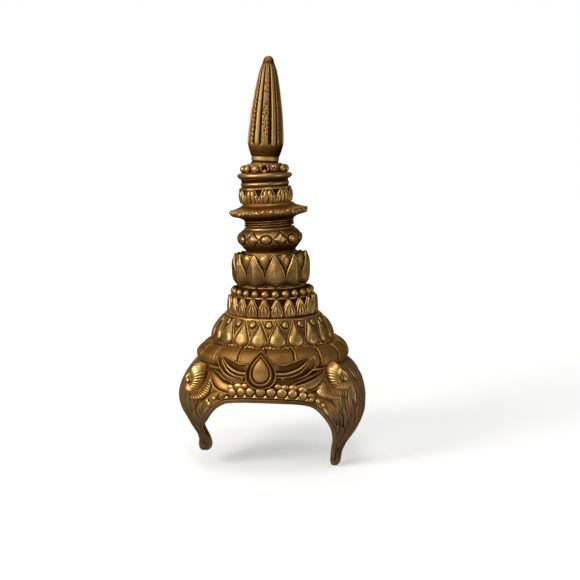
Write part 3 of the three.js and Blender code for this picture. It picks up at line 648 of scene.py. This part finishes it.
# Painted shade: in the grooves round the bosses and diamonds, towards the bottom, down the wearer's left side
# and in a patch low on the front left.
bulb_shade = 1.1 * ridge(spread - 1.2, 0.16) + 1.1 * ridge(corner - 1.1, 0.1)
bulb_shade += 0.5 * eased(11, 5, height) + 0.7 * eased(4, 2, height)
bulb_shade += 0.45 * ridge(off_middle(turn, 1, 64), 0.5)
bulb_shade += 0.7 * ridge(off_middle(turn, 1, 26), 0.3) * eased(15, 11, height)
body = raised(points, normals, outer * relief, seat, lean, grime_and_shade=bulb_shade)
bulb = cast("bulb_casting", [body], tier_paint)
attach(bulb, "root")
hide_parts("bulb")


# Beaded disc
# A thin dish that tilts a little, on a stem of three fine rings. Small uneven beads crowd the front of its
# rounded rim.

seat, lean = (-3.69, 116.01), 3.6
turn, height, radius, points, normals, outer = swept(
    [(27.6, -0.1), (28.6, 0.1), (28.8, 0.7), (30.8, 1.7), (28.8, 2.7), (28.4, 3.2), (30.4, 4.2),
     (28.4, 5.2), (28.4, 5.7), (30.4, 6.7), (29.4, 7.7), (30.4, 8.6), (33.4, 10.6), (37, 12), (41.4, 13),
     (44.4, 13.9), (46, 15.6), (46.4, 17.6), (45.8, 19.6), (43.8, 21), (39, 22.2), (34, 24.2),
     (31.6, 25.6), (31.2, 26.4), (30, 27.4), (28, 27.6)],
    spacing=0.55, soften=0.3, bore=[(21, 26.4), (21.5, 13), (22, -0.1)], columns=400)
run = np.cumsum(np.linalg.norm(np.diff(points[:, 0], axis=0, prepend=points[:1, 0]), axis=1))[:, None]
middle = run[np.argmax(radius[:, 0])]
lumps = np.random.default_rng(7)
relief = np.zeros_like(turn)
count, girth = 46, 46
for k in range(count):
    at = math.radians(360 * (k + lumps.uniform(-0.3, 0.3)) / count)
    size, level = lumps.uniform(1.2, 2.5), lumps.uniform(-1.6, 2.2)
    near = np.hypot(off_middle(turn, 1, math.degrees(at)) * girth, run - middle - level)
    relief = np.maximum(relief, 0.8 * size * np.sqrt(np.clip(1 - (near / size) ** 2, 0, 1)))
crumbs = np.sin(41 * turn + 1.7 * run) * np.sin(67 * turn - 1.1 * run + 2)
relief += 0.25 * crumbs * eased(6.5, 2.5, np.abs(run - middle - 2.5))
# Painted shade on the dish's top where the leaf ring stands on it.
dulled = 0.5 * eased(41, 37, radius) * eased(21, 22, height)
body = raised(points, normals, outer * relief, seat, lean, grime_and_shade=dulled)
disc = cast("beaded_disc_casting", [body], tier_paint)
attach(disc, "root")
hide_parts("beaded_disc")


# Leaf ring
# Nine palm leaves of four lobes each, with deep three-cornered hollows between their tops, under a round
# moulding and the hollow neck above it.

seat, lean = (-7.56, 142.86), 3.2
turn, height, radius, points, normals, outer = swept(
    [(27.4, -0.2), (28.6, 0), (29.2, 1.4), (30, 4), (30.5, 10), (30.6, 17), (30.4, 19), (29.4, 20),
     (28, 20.5), (27.6, 21), (28.4, 21.6), (29.1, 23.2), (28.8, 25), (27.8, 26), (27.6, 26.8),
     (28.4, 28.4), (29.2, 29.8), (25, 30.2)],
    spacing=0.5, soften=0.35, bore=[(19, 28.7), (19.5, 14), (20, -0.2)], columns=378)
count, first, girth = 9, 13.4, 30.4
across = off_middle(turn, count, first) * girth
relief = np.zeros_like(turn)
for aside, half, low, high in ((3.0, 2.9, 1.2, 16.4), (7.3, 1.8, 1.2, 11.4), (10, 1.1, 1.2, 7)):
    aside = aside * (1 - 0.025 * (height - 6))
    lobe = 1 - ((np.abs(across) - aside) / half) ** 2 - np.abs((2 * height - low - high) / (high - low)) ** 3
    relief = np.maximum(relief, (1.1 + 0.4 * half) * np.sqrt(np.clip(lobe, 0, 1)))
beside = np.abs(off_middle(turn, count, first + 180 / count) * girth)
inside_vee = np.minimum((5.2 * (height - 7.3) / 10.3 - beside) / 1.12, 17.8 - height)
relief -= 2.2 * eased(0.2, 1.3, inside_vee) - 0.9 * ridge(inside_vee + 0.5, 0.6) * eased(4, 7, height)
relief *= eased(20.2, 19.2, height)
# Painted shade just under the knob collar and at the foot on the disc; the raised lobes are kept brighter.
under_lip = 1.7 * eased(25.4, 26.4, height) + 1.5 * eased(3, 0.8, height) - 0.5 * eased(0.8, 1.8, relief)
body = raised(points, normals, outer * relief, seat, lean, grime_and_shade=under_lip)
ring = cast("leaf_ring_casting", [body], tier_paint)
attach(ring, "root")
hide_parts("leaf_ring")


# Knob collar
# A moulded lip with a row of round knobs on it. A curl and a small palm leaf take the place of two knobs
# at the front.

seat, lean = (-9.18, 172.4), 2.0
turn, height, radius, points, normals, outer = swept(
    [(27.2, -0.1), (29.4, 0.1), (30.9, 1.0), (32.2, 2.2), (32.8, 3.8), (32.4, 5.4), (30.8, 6.5),
     (27, 7.1), (24.8, 7.9), (23.8, 10), (23.4, 13.6), (22, 16.2), (20.6, 17.4), (19.4, 18)],
    spacing=0.45, soften=0.35, bore=[(18.4, 18), (18.4, 15.2), (11, 15), (14, 8), (18, -0.1)], columns=340)
girth, middle = 24.5, 12
curl_turn, curl_up = off_middle(turn, 1, 9) * girth, height - middle
swirl = np.hypot(curl_turn, curl_up)
relief = 2.8 * ridge(swirl - 4.2, 0.85) - 1.8 * eased(3.6, 2.6, swirl)
relief += 1.6 * ridge(np.hypot(curl_turn, curl_up + 1.5), 1.1)
frond, frond_up = off_middle(turn, 1, 34) * girth, height - middle
palm = eased(1, 0.7, np.hypot(frond / 5.4, frond_up / 4.4))
relief += 2.6 * np.abs(np.cos(1.05 * frond + 0.25 * frond_up)) * palm
relief += 0.3 * np.sin(40 * turn) * np.sin(1.7 * height) * eased(8.5, 10, height)
# Painted shade on the underside of the moulded lip.
under_lip = 1.6 * eased(2.8, 1.6, height)
knob_turns = [-17 + 27.7 * k for k in range(13) if k not in (1, 2)]
knobs = ring_of_beads(knob_turns, 24.6, 11.6, radius=5.0, depth=4.8, seat=seat, lean=lean, tilt=0.1)
body = raised(points, normals, outer * relief, seat, lean, grime_and_shade=under_lip)
collar = cast("knob_collar_casting", [body] + knobs, tier_paint)
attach(collar, "root")
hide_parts("knob_collar")


# Finial
# The lotus bud at the top, on a turned neck gilded brighter, which also paints in its highlight. Six pitted
# panels with scalloped edges alternate with six fat ribs, and a small knob closes the point.

seat, lean = (-9.12, 188.89), -2.2
turn, height, radius, points, normals, outer = swept(
    [(15, -0.2), (17.2, 0.1), (17.3, 1.4), (16.4, 2.8), (15.3, 3.9), (15.5, 4.4), (16.4, 5), (16.5, 8),
     (16.4, 10.2), (17.2, 10.8), (17.6, 12), (18.4, 14.4), (19.8, 18.6), (20.7, 23.4), (21, 27.6),
     (20.7, 35), (19.8, 46), (18.5, 60), (16.8, 73), (14.8, 87), (12.4, 100), (10.1, 110), (8.2, 116),
     (7.1, 118.6), (6.6, 120.2), (6.4, 121.6), (5.7, 124), (4, 126.2), (2, 127.2), (0.3, 127.5)],
    spacing=0.7, soften=0.4, bore=[(0.3, 104), (7, 84), (10, -0.2)], columns=216)
panels, first = 6, 4.8
off_panel = np.degrees(off_middle(turn, panels, first))
edge_wave = 11.8 + np.where(off_panel > 0, 1.7, 0.4) * np.sin(2 * np.pi * height / 5.4 + 2 * np.sin(turn))
panel = eased(edge_wave + 1.2, edge_wave - 1.2, np.abs(off_panel))
over_rib = np.abs(np.degrees(off_middle(turn, panels, 37.2))) / 8.4
rib = np.clip(1 - over_rib**4, 0, 1) ** 0.5 - 0.14 * ridge(over_rib, 0.4)
profile = -2.6 + 2.2 * panel + 3.3 * rib
pits = np.zeros_like(turn)
draw = np.random.default_rng(11)
for k in range(26 * panels):
    at = first + 360 / panels * (k % panels) + draw.uniform(-8, 8)
    level, size = draw.uniform(30, 104), draw.uniform(0.7, 1.3)
    near = np.hypot(off_middle(turn, 1, at) * radius, height - level)
    pits = np.maximum(pits, eased(size, 0.4 * size, near))
grain = np.sin(58 * turn + 2.4 * np.sin(0.7 * height)) * np.sin(1.25 * height)
profile += panel * (0.36 * grain - 1.1 * pits)
ends = eased(21.5, 28.5, height + 3 * ridge(over_rib, 0.8)) * eased(118.5, 114, height)
relief = profile * ends * np.clip(radius / 20, 0.35, 1)
finial_paint = painted(
    "finial_paint", gold=(0.78, 0.5, 0.17), bronze=(0.34, 0.16, 0.034),
    dull=((0.5, 0.303, 0.117), (0.27, 0.126, 0.028)), gloss=0.12,
)
# Painted shade on the bud's underside above the neck and down its side on the wearer's left; the pits and the
# top knob are painted darker, and the neck is gilded brighter, which also paints in its highlight.
foot = 1.3 * eased(10.2, 11, height) * eased(29, 20, height) + 0.8 * eased(116, 119, height) + 1.2 * pits
foot += 1.3 * ridge(off_middle(turn, 1, 71), 0.42)
neck = eased(4.6, 5.2, height) * eased(10.6, 10, height)
bud = raised(points, normals, outer * relief, seat, lean, grime_and_shade=foot - neck, gilt=neck)
finial = cast("finial_casting", [bud], finial_paint)
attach(finial, "root")
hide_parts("finial")


# Brow band
# A moulded strip over the brow with flat round beads in a row, small darts under them and rounded tabs over
# them. It follows the hem and thins out into beads along the flaps.

band_paint = painted("band_paint", gold=(0.92, 0.59, 0.22), bronze=(0.36, 0.165, 0.033), rubbing=1.1)


def hem_at(turn):
    """Height of the front hem at a turn, on the part where each turn meets it once."""
    return np.interp(turn, *along_hem(np.linspace(-8, 8, 225)))


def strip_part(inner, front, wear_and_shade):
    """A closed strip: each row is a loop that runs up its front and down its back, drawn together at both
    ends of the strip."""
    loops = np.concatenate([front, inner], 1)
    loops = np.concatenate([loops.mean(1, keepdims=True)[:1] + 0 * loops[:1], loops,
                            loops.mean(1, keepdims=True)[-1:] + 0 * loops[-1:]])
    filled = []
    for value in wear_and_shade:
        value = np.concatenate([value, np.full((len(value), inner.shape[1]), value.min())], 1)
        filled.append(np.concatenate([value[:1], value, value[-1:]]))
    return grid_part(loops[::-1], [value[::-1] for value in filled], wrap=False)


strip_turn = np.radians(np.linspace(-36, 42, 380))[:, None]
span = np.linspace(0, 1, 34)
ends = eased(-36, -26, np.degrees(strip_turn)) * eased(42, 30, np.degrees(strip_turn))
above = 5.2 + (5.0 + 8.4 * ends) * span
base = on_cap(strip_turn + 0 * above, hem_at(strip_turn) + above)
bead_turns = [-24, -17.8, -12.0, -6.4, 0, 6.4, 13, 19.4, 25.6, 31]
darts = [(a + b) / 2 for a, b in zip(bead_turns, bead_turns[1:])]
girth = 97
beside = np.abs(nearest_place(strip_turn, darts)) * girth
dart = np.clip(1 - beside / 2.9, 0, 1) - np.clip((above - 6.4) / 4.2, 0, 1)
relief = 1.0 + 1.8 * np.clip(1.6 * dart, 0, 0.6) + 0.4 * ridge(above - 5.6, 0.5)
relief *= eased(0, 0.1, span) * eased(1, 0.9, span)
strip_normals = np.cross(np.gradient(base, axis=0), np.gradient(base, axis=1))
strip_normals /= np.linalg.norm(strip_normals, axis=2, keepdims=True)
front = base + strip_normals * relief[..., None]
inner = (base - 1.5 * strip_normals)[:, ::-1][:, ::8]
round_bead = np.hypot(nearest_place(strip_turn, bead_turns) * girth, above - 12.9)
shade = 0.5 + 1.5 * ridge(round_bead - 5.4, 1.3)
wear_and_shade = (proud(front, strip_normals, 0.8), proud(front, strip_normals, 3.0) - shade, np.ones(relief.shape))
parts = [strip_part(inner, front, wear_and_shade)]
studs = [
    # turn, height over the hem, half width, depth, height for its width, flatness
    (-17.8, 13.2, 4.8, 2.7, 1.0, 0.5), (-12.0, 13.0, 4.7, 2.6, 1.0, 0.5), (-6.4, 12.9, 4.8, 2.6, 1.0, 0.5),
    (0.0, 12.9, 5.3, 2.6, 0.93, 0.5), (6.4, 12.9, 5.2, 2.6, 0.95, 0.5), (13.0, 12.7, 5.3, 2.7, 1.0, 0.5),
    (19.4, 12.4, 5.1, 2.7, 1.0, 0.5), (25.6, 11.2, 4.6, 2.6, 1.0, 0.5),
    (-19.4, 18.8, 4.6, 3.4, 0.8, 0.7), (-14.4, 19.6, 5.2, 3.6, 0.75, 0.7), (-10.0, 19.4, 4.0, 3.2, 0.8, 0.7),
    (10.8, 19.6, 4.4, 3.2, 0.7, 0.7), (15.2, 19.2, 4.2, 3.0, 0.75, 0.7), (20.2, 19.4, 5.0, 3.6, 0.78, 0.7),
    (26.2, 18.6, 5.2, 3.6, 0.72, 0.7),
    (-24.2, 12.4, 2.8, 2.4, 0.8, 0.8), (-29.6, 13.4, 3.4, 2.6, 0.8, 0.9), (-32.6, 10.2, 3.2, 2.6, 1.2, 0.9),
    (-34.2, 16.0, 2.6, 2.2, 1.3, 0.9), (30.8, 14.6, 3.8, 2.6, 0.5, 0.9), (31.0, 9.4, 3.0, 2.4, 0.9, 0.9),
    (34.8, 11.0, 3.2, 2.6, 1.1, 0.9), (38.2, 11.4, 2.8, 2.4, 1.3, 0.9),
]
for degrees, over, size, depth, tall, flat in studs:
    stud_turn = np.array(math.radians(degrees))
    at = on_cap(stud_turn, hem_at(stud_turn) + over, 0.8)
    out = on_cap(stud_turn, hem_at(stud_turn) + over, 5.0) - at
    parts.append(bead(at, out, size, depth, tall=tall, flat=flat))
band = cast("brow_band_casting", parts, band_paint)
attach(band, "root")
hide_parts("brow_band")


# Front jewel
# A drop-shaped setting at the middle of the brow: two thin raised borders with a sunk channel between them
# round a low smooth drop, cast in one with the frieze and painted like it.

roll_reach = 90.6


def on_front(turn, height, out):
    """A point over the frieze: out from the cap's wall below or from the roll's bulge above it, whichever is
    the larger, with the two blended where they are near to each other."""
    wall_points = on_cap(turn, np.minimum(height, shoulder))
    wall_reach = np.hypot(wall_points[..., 0], wall_points[..., 1])
    reach = (wall_reach + roll_reach + np.hypot(wall_reach - roll_reach, 3.0)) / 2 - 0.6 + out
    return np.stack([reach * np.sin(turn), -reach * np.cos(turn), height + 0 * turn], -1)


rings = np.array([
    # width and height as shares of the outline, and how far it stands out
    (0.0, 0.0, -4), (0.98, 0.98, -4), (1.0, 1.0, -1), (1.0, 1.0, 2.6), (0.985, 0.99, 4.2),
    (0.95, 0.965, 4.9), (0.91, 0.94, 4.2), (0.87, 0.915, 3.3), (0.81, 0.88, 3.0), (0.75, 0.84, 3.2),
    (0.71, 0.81, 3.9), (0.67, 0.78, 4.8), (0.63, 0.745, 4.9), (0.59, 0.71, 4.0), (0.555, 0.68, 3.2),
    (0.52, 0.65, 3.2), (0.49, 0.62, 4.2), (0.44, 0.56, 4.9), (0.32, 0.41, 5.4), (0.18, 0.24, 5.7),
    (0.0, 0.0, 5.8),
])
row = np.linspace(0, len(rings) - 1, 110)
wide, tall, out = (flowing(row, np.arange(len(rings)), rings[:, k])[:, None] for k in (0, 1, 2))
angle = 2 * np.pi * np.arange(132) / 132
drop_shape = np.sin(angle) * np.abs(np.sin(angle / 2)) ** 0.8
middle, half_width, half_height = -41, 17.2, 21.4
across = -np.clip(wide, 0, 1) * half_width * drop_shape / np.abs(drop_shape).max()
rise = np.clip(tall, 0, 1) * half_height * np.cos(angle)
above = np.maximum(rise, 0)
base = on_front(across / roll_reach, middle + rise, 1.0 + out - 0.03 * rise - 0.016 * above**2
                - 0.5 * above * (1 - (above / half_height) ** 2) * (out < 0))
jewel_normals = outward(base)
# Painted shade in the sunk channel and in the groove round the drop.
channel = eased(0.92, 0.86, wide) * eased(0.7, 0.75, wide)
channel = 0.2 * (channel + eased(0.6, 0.57, wide) * eased(0.5, 0.53, wide))
wear_and_shade = (proud(base, jewel_normals, 0.7), proud(base, jewel_normals, 2.6) - channel, np.ones(base.shape[:2]))
jewel = cast("front_jewel_casting", [grid_part(base, wear_and_shade, wrap=False)], roll_paint)
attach(jewel, "root")
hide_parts("front_jewel")


# Crescents
# Two broad horn-shaped leaves that rise from both sides of the jewel. Each has a hollow along the top,
# darkened as painted shade with the roll's painted shadow on its upper edge, a gold lip and a thin lower edge
# rubbed bright, which also paints in a highlight, and the edge of a second, darker leaf shows under it.

def frieze_leaf(edges, side, stretch, face, shade_and_grime, ribs=0):
    """A leaf of the frieze between two edges. A row of the table gives the turn and height of its lower edge,
    those of its upper edge, and its crest. `face` is how far it stands out, as a share of the crest, and the
    next argument how much darker it is painted, from the lower edge (-1) to the upper (1); on the crescents
    and temple leaves that is painted shade. Ribs are small waves along it."""
    edges = np.array(edges, float)
    row = np.linspace(0, len(edges) - 1, 110)
    low_turn, low, high_turn, high, crest = (
        flowing(row, np.arange(len(edges)), edges[:, k])[:, None] for k in range(5))
    crest = np.maximum(crest, 0) + 0.36 * np.cos(2 * np.pi * ribs * row / row[-1])[:, None] * (ribs > 0)
    angle = 2 * np.pi * np.arange(68) / 68
    t = np.cos(angle)
    turn = low_turn + (high_turn - low_turn) * (t + 1) / 2
    turn = side * np.radians(9 + (turn - 9) * stretch)
    height = low + (high - low) * (t + 1) / 2
    in_front = np.sin(angle) >= 0
    points = on_front(turn, height, np.where(in_front, crest * face(t), -3.0 * np.abs(np.sin(angle))))
    if side * (edges[-1, 0] - edges[0, 0]) < 0:
        points = points[::-1]
    normals = outward(points)
    wear_and_shade = (proud(points, normals, 0.7), proud(points, normals, 2.6) - shade_and_grime(t), np.ones(points.shape[:2]))
    return grid_part(points, wear_and_shade, wrap=False)


def dished(t):
    """A hollow between a low upper edge and a flat lip, which ends in a thin raised lower edge."""
    rims = 0.55 * ridge(t + 0.9, 0.07) + 0.16 * ridge(t + 0.4, 0.09) + 0.35 * ridge(t - 0.9, 0.07)
    return (0.12 + 0.36 * eased(-0.1, -0.5, t) + rims) * eased(1, 0.96, np.abs(t))


def dark_hollow(t):
    """Painted shade in the hollow and on the lip, and the roll's painted shadow along the upper edge; the
    lower edge is painted brighter, as rubbing and a painted highlight.
    """
    lines = 0.6 * ridge(t + 0.68, 0.13) + 0.7 * ridge(t - 0.86, 0.12) - 0.9 * ridge(t + 0.92, 0.08)
    return 0.4 * eased(-0.3, -0.05, t) * eased(0.98, 0.9, t) + lines


def lipped(t):
    """A low flat face with a thin raised lower edge."""
    return (0.3 + 0.6 * ridge(t + 0.84, 0.12)) * eased(1, 0.94, np.abs(t))


def dark_face(t):
    """Darker all over but for the lower edge."""
    return 0.5 * eased(-0.8, -0.6, t)


crescent_edges = [
    (8.6, -49.4, 9.2, -33.6, 3.4), (14, -50, 14.6, -35.2, 4.6), (18.5, -49.3, 18.6, -33.2, 5.2),
    (22.4, -46.9, 21.6, -31.2, 5.4), (25.6, -43.2, 24.4, -29.6, 5.2), (28.2, -37.6, 26.8, -28.7, 4.6),
    (29.9, -32.8, 28.9, -28.9, 3.4), (30.8, -29.6, 30.8, -29.4, 0.5),
]
second_edges = [
    (13, -54, 14, -46, 1.2), (18, -53.4, 18, -45, 2.0), (22.4, -52.2, 21.6, -42, 2.4),
    (26.8, -50.4, 25, -38, 2.6), (30.6, -47.2, 28, -34, 2.6), (33.4, -43, 30.6, -31, 2.4),
    (34.8, -37.4, 32.6, -29, 2.0), (35.2, -31, 34.6, -28, 0.4),
]
for hand, side, stretch in (("right", -1, 1.0), ("left", 1, 1.24)):
    parts = [
        frieze_leaf(crescent_edges, side, stretch, dished, dark_hollow),
        frieze_leaf(second_edges, side, stretch, lipped, dark_face),
    ]
    crescent = cast(f"crescent_{hand}_casting", parts, tier_paint)
    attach(crescent, "root")
    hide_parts(f"crescent_{hand}")


# Temple leaves
# Broad curved leaves from the temple scrolls down to the bead row. Each has a full lower half with a thin
# edge rubbed bright, which also paints in a highlight, and a scoop along the top darkened as painted shade.

def scooped(t):
    """A rounded lower half behind a thin raised edge, and a hollow between it and the upper edge."""
    body = 0.34 * np.sqrt(np.clip(1 - ((t + 0.2) / 0.62) ** 2, 0, 1))
    rims = 0.8 * ridge(t + 0.91, 0.06) + 0.5 * ridge(t - 0.9, 0.08)
    return (0.16 + body + rims) * eased(1, 0.96, np.abs(t))


def dark_top(t):
    """Painted shade in the scoop and in the fold behind the lower edge, a little darker all over, and the
    lower edge painted brighter, as rubbing and a painted highlight.
    """
    scoop = 0.25 + 0.6 * eased(0.2, 0.5, t) * eased(0.94, 0.82, t)
    return scoop + 0.5 * ridge(t + 0.78, 0.07) - 0.9 * ridge(t + 0.93, 0.09)


leaf_edges = {
    "right": [
        (41.5, -49, 41.8, -48.6, 0.5), (39.4, -54.4, 39.6, -46.4, 2.8), (36.6, -60, 36, -47.2, 4.0),
        (33.8, -64.2, 32, -49.2, 4.6), (30.4, -67.2, 28.4, -52, 4.8), (26.4, -68.9, 25, -54.2, 4.6),
        (22.6, -69.8, 21.5, -56, 3.4), (18.4, -67, 18.2, -61, 0.5),
    ],
    "left": [
        (49.6, -46, 49.8, -45.4, 0.5), (46.8, -52.4, 46.4, -46, 2.8), (43.8, -57.2, 41.5, -47.6, 4.0),
        (40, -62, 36.5, -49.6, 4.6), (36, -64.9, 31.6, -51.8, 4.8), (31.4, -65.8, 27.6, -54, 4.4),
        (27, -65, 24.4, -56, 3.2), (22.4, -62, 22, -58.4, 0.5),
    ],
}
for hand, side in (("right", -1), ("left", 1)):
    body = frieze_leaf(leaf_edges[hand], side, 1.0, scooped, dark_top)
    temple_leaf = cast(f"temple_leaf_{hand}_casting", [body], tier_paint)
    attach(temple_leaf, "root")
    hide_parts(f"temple_leaf_{hand}")


# Temple scrolls
# A fat scroll over each temple, smooth on top and then finely ribbed, coiled like a ram's horn round a small
# eye, with a curl that hugs it from below.

def scroll(side, degrees, middle, wide, tall):
    """A tube along a spiral from the top, by way of the front and the bottom, in to its eye. It thins as it
    goes and stands out from the cap by its crest, more upright than the wall behind it. Its ribs are small
    waves along its length. The whole is `wide` and `tall` times its plain size."""
    rows, columns = 400, 36
    t = np.linspace(0, 1, rows)[:, None]
    angle = math.radians(80) + 2 * np.pi * 1.36 * t
    around = 2 * np.pi * np.arange(columns) / columns
    taper = np.sqrt(np.clip(t / 0.06, 0, 1)) * np.sqrt(np.clip((1 - t) / 0.05, 0, 1))
    ribs = 0.32 * np.cos(2 * np.pi * 42 * t**0.85) * eased(0.1, 0.16, t) * eased(0.92, 0.8, t)
    spiral = 11.4 - 9.2 * t**0.9 + ((8.4 - 5.6 * t) * taper + ribs) * np.cos(around)
    reach = float(np.hypot(*on_cap(np.array(math.radians(degrees)), np.array(middle))[:2]))
    turn = math.radians(degrees) + side * wide * spiral * np.cos(angle) / reach
    rise = tall * spiral * np.sin(angle)
    upright, behind = (
        np.linalg.norm(on_cap(turn, middle + share * rise)[..., :2], axis=-1) for share in (0.1, 1))
    stand = np.maximum(upright - behind, -3) * taper
    crest = (10.5 - 2.0 * t) * taper + ribs
    depth = np.where(np.sin(around) > 0, crest, stand + 3 * taper)
    lift = stand + depth * np.sin(around)
    points = on_cap(turn, middle + rise, lift)
    if side > 0:
        points = points[:, ::-1]
    normals = outward(points)
    wear_and_shade = (0.7 * proud(points, normals, 0.7), proud(points, normals, 2.8) + 0.1, np.ones(points.shape[:2]))
    return grid_part(points, wear_and_shade, wrap=False)


def rounded(t):
    """A half-round face."""
    return np.sqrt(np.clip(1 - t**2, 0, 1))


def clean(t):
    """No darkening beyond what the shape itself gives."""
    return 0 * t


def grimy(t):
    """A little soiling all over."""
    return 1.1 + 0 * t


curl_edges = {
    "right": [
        (40.2, -57, 41.4, -56.6, 0.5), (38.2, -65, 42.6, -63, 1.6), (39, -73.6, 44.6, -69.6, 2.4),
        (43.6, -81, 48, -75.4, 2.6), (51, -84.4, 53, -78.6, 2.4), (59, -82.6, 58.4, -79.4, 0.5),
    ],
    "left": [
        (43.4, -57, 44.4, -56.4, 0.5), (39.6, -61.6, 45.2, -60, 5.0), (37.6, -67, 44.6, -64.6, 6.6),
        (39, -72.8, 46, -68.6, 7.0), (43.6, -76.8, 49.6, -71.6, 6.4), (50.6, -78.6, 53.4, -73.6, 4.8),
        (56, -77, 56, -75.4, 0.5),
    ],
}
for hand, side, degrees, middle, wide, tall, ribs in (
        ("right", -1, -53.5, -62.6, 1.12, 1.24, 15), ("left", 1, 57.5, -57, 1.05, 1.13, 17)):
    eye_turn = np.array(math.radians(degrees))
    eye_at, eye_out = on_cap(eye_turn, np.array(middle), 8.4), on_cap(eye_turn, np.array(middle), 11.0)
    shade_and_grime = grimy if hand == "right" else clean
    parts = [
        scroll(side, degrees, middle, wide, tall),
        frieze_leaf(curl_edges[hand], side, 1.0, rounded, shade_and_grime, ribs),
        bead(eye_at, eye_out - eye_at, 3.8, 3.4),
    ]
    curl = cast(f"temple_scroll_{hand}_casting", parts, band_paint)
    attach(curl, "root")
    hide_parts(f"temple_scroll_{hand}")


# Studio
# A pale floor under the flaps that glows as painted light, weaker near the middle so that shadows show
# there, a broad soft light from the upper left and weaker ones round it, and the camera where the photograph
# was taken from.

floor_mesh = bpy.data.meshes.new("floor")
ground = -0.1715
floor_corners = [(-6, -6, ground), (6, -6, ground), (6, 6, ground), (-6, 6, ground)]
floor_mesh.from_pydata(floor_corners, [], [(0, 1, 2, 3)])
floor_paint = bpy.data.materials.new("floor_paint")
floor_paint.use_nodes = True
floor_shader = floor_paint.node_tree.nodes["Principled BSDF"].inputs
floor_shader["Base Color"].default_value = (0.9, 0.9, 0.9, 1)
floor_shader["Roughness"].default_value = 1.0
# Painted light: the floor glows half as strongly near the middle, so that shadows show there, and fully
# further out, where it looks evenly white.
floor_shader["Emission Strength"].default_value = 1.0
from_middle = add_node(floor_paint.node_tree, "ShaderNodeVectorMath", {"operation": "LENGTH"},
                       i0=add_node(floor_paint.node_tree, "ShaderNodeTexCoord").outputs["Object"])
glow = add_node(floor_paint.node_tree, "ShaderNodeMapRange", {"interpolation_type": "SMOOTHSTEP"},
                i0=from_middle.outputs["Value"], i1=0.3, i2=2.2, i3=0.5, i4=1.0)
floor_paint.node_tree.links.new(glow.outputs[0], floor_shader["Emission Color"])
floor_mesh.materials.append(floor_paint)
floor = bpy.data.objects.new("floor", floor_mesh)
bpy.context.scene.collection.objects.link(floor)
floor.visible_glossy = False
floor.visible_diffuse = False


def soft_light(name, place, target, size, power, tint=(1, 1, 1)):
    """A square area light that faces its target."""
    light = bpy.data.lights.new(name, "AREA")
    light.size, light.energy, light.color = size, power, tint
    lamp = bpy.data.objects.new(name, light)
    lamp.location = place
    lamp.rotation_euler = (Vector(target) - Vector(place)).to_track_quat("-Z", "Y").to_euler()
    bpy.context.scene.collection.objects.link(lamp)


soft_light("key", (-1.4, -1.3, 0.9), (0, 0, 0.05), 0.8, 25.5, (1, 0.97, 0.92))
soft_light("front", (0.0, -2.0, 0.7), (0, 0, 0.05), 0.8, 5, (1, 0.97, 0.92))
soft_light("overhead", (0.1, -0.7, 1.6), (0, 0, 0.05), 0.7, 6)
soft_light("right_fill", (1.5, -0.6, 0.0), (0.1, 0, -0.1), 0.5, 4)
soft_light("back_fill", (-0.4, 1.25, 1.5), (0, 0, 0.05), 1.0, 7)

world = bpy.data.worlds.new("studio")
world.use_nodes = True
tree = world.node_tree
seen = add_node(tree, "ShaderNodeLightPath").outputs["Is Camera Ray"]
ambient = add_node(tree, "ShaderNodeBackground", Color=(1, 1, 1, 1), Strength=0.11)
backdrop = add_node(tree, "ShaderNodeBackground", Color=(1, 1, 1, 1), Strength=1.0)
sky = add_node(tree, "ShaderNodeMixShader", i0=seen, i1=ambient.outputs[0], i2=backdrop.outputs[0])
tree.links.new(sky.outputs[0], tree.nodes["World Output"].inputs["Surface"])
bpy.context.scene.world = world
bpy.context.scene.view_settings.view_transform = "Standard"

camera = bpy.data.objects.new("camera", bpy.data.cameras.new("camera"))
camera.data.lens = 65.8
camera.location = (0.18685, -1.25838, 0.218)
aim = Vector((0.02082, 0.00274, 0.038))
camera.rotation_euler = (aim - camera.location).to_track_quat("-Z", "Y").to_euler()
bpy.context.scene.collection.objects.link(camera)
bpy.context.scene.camera = camera
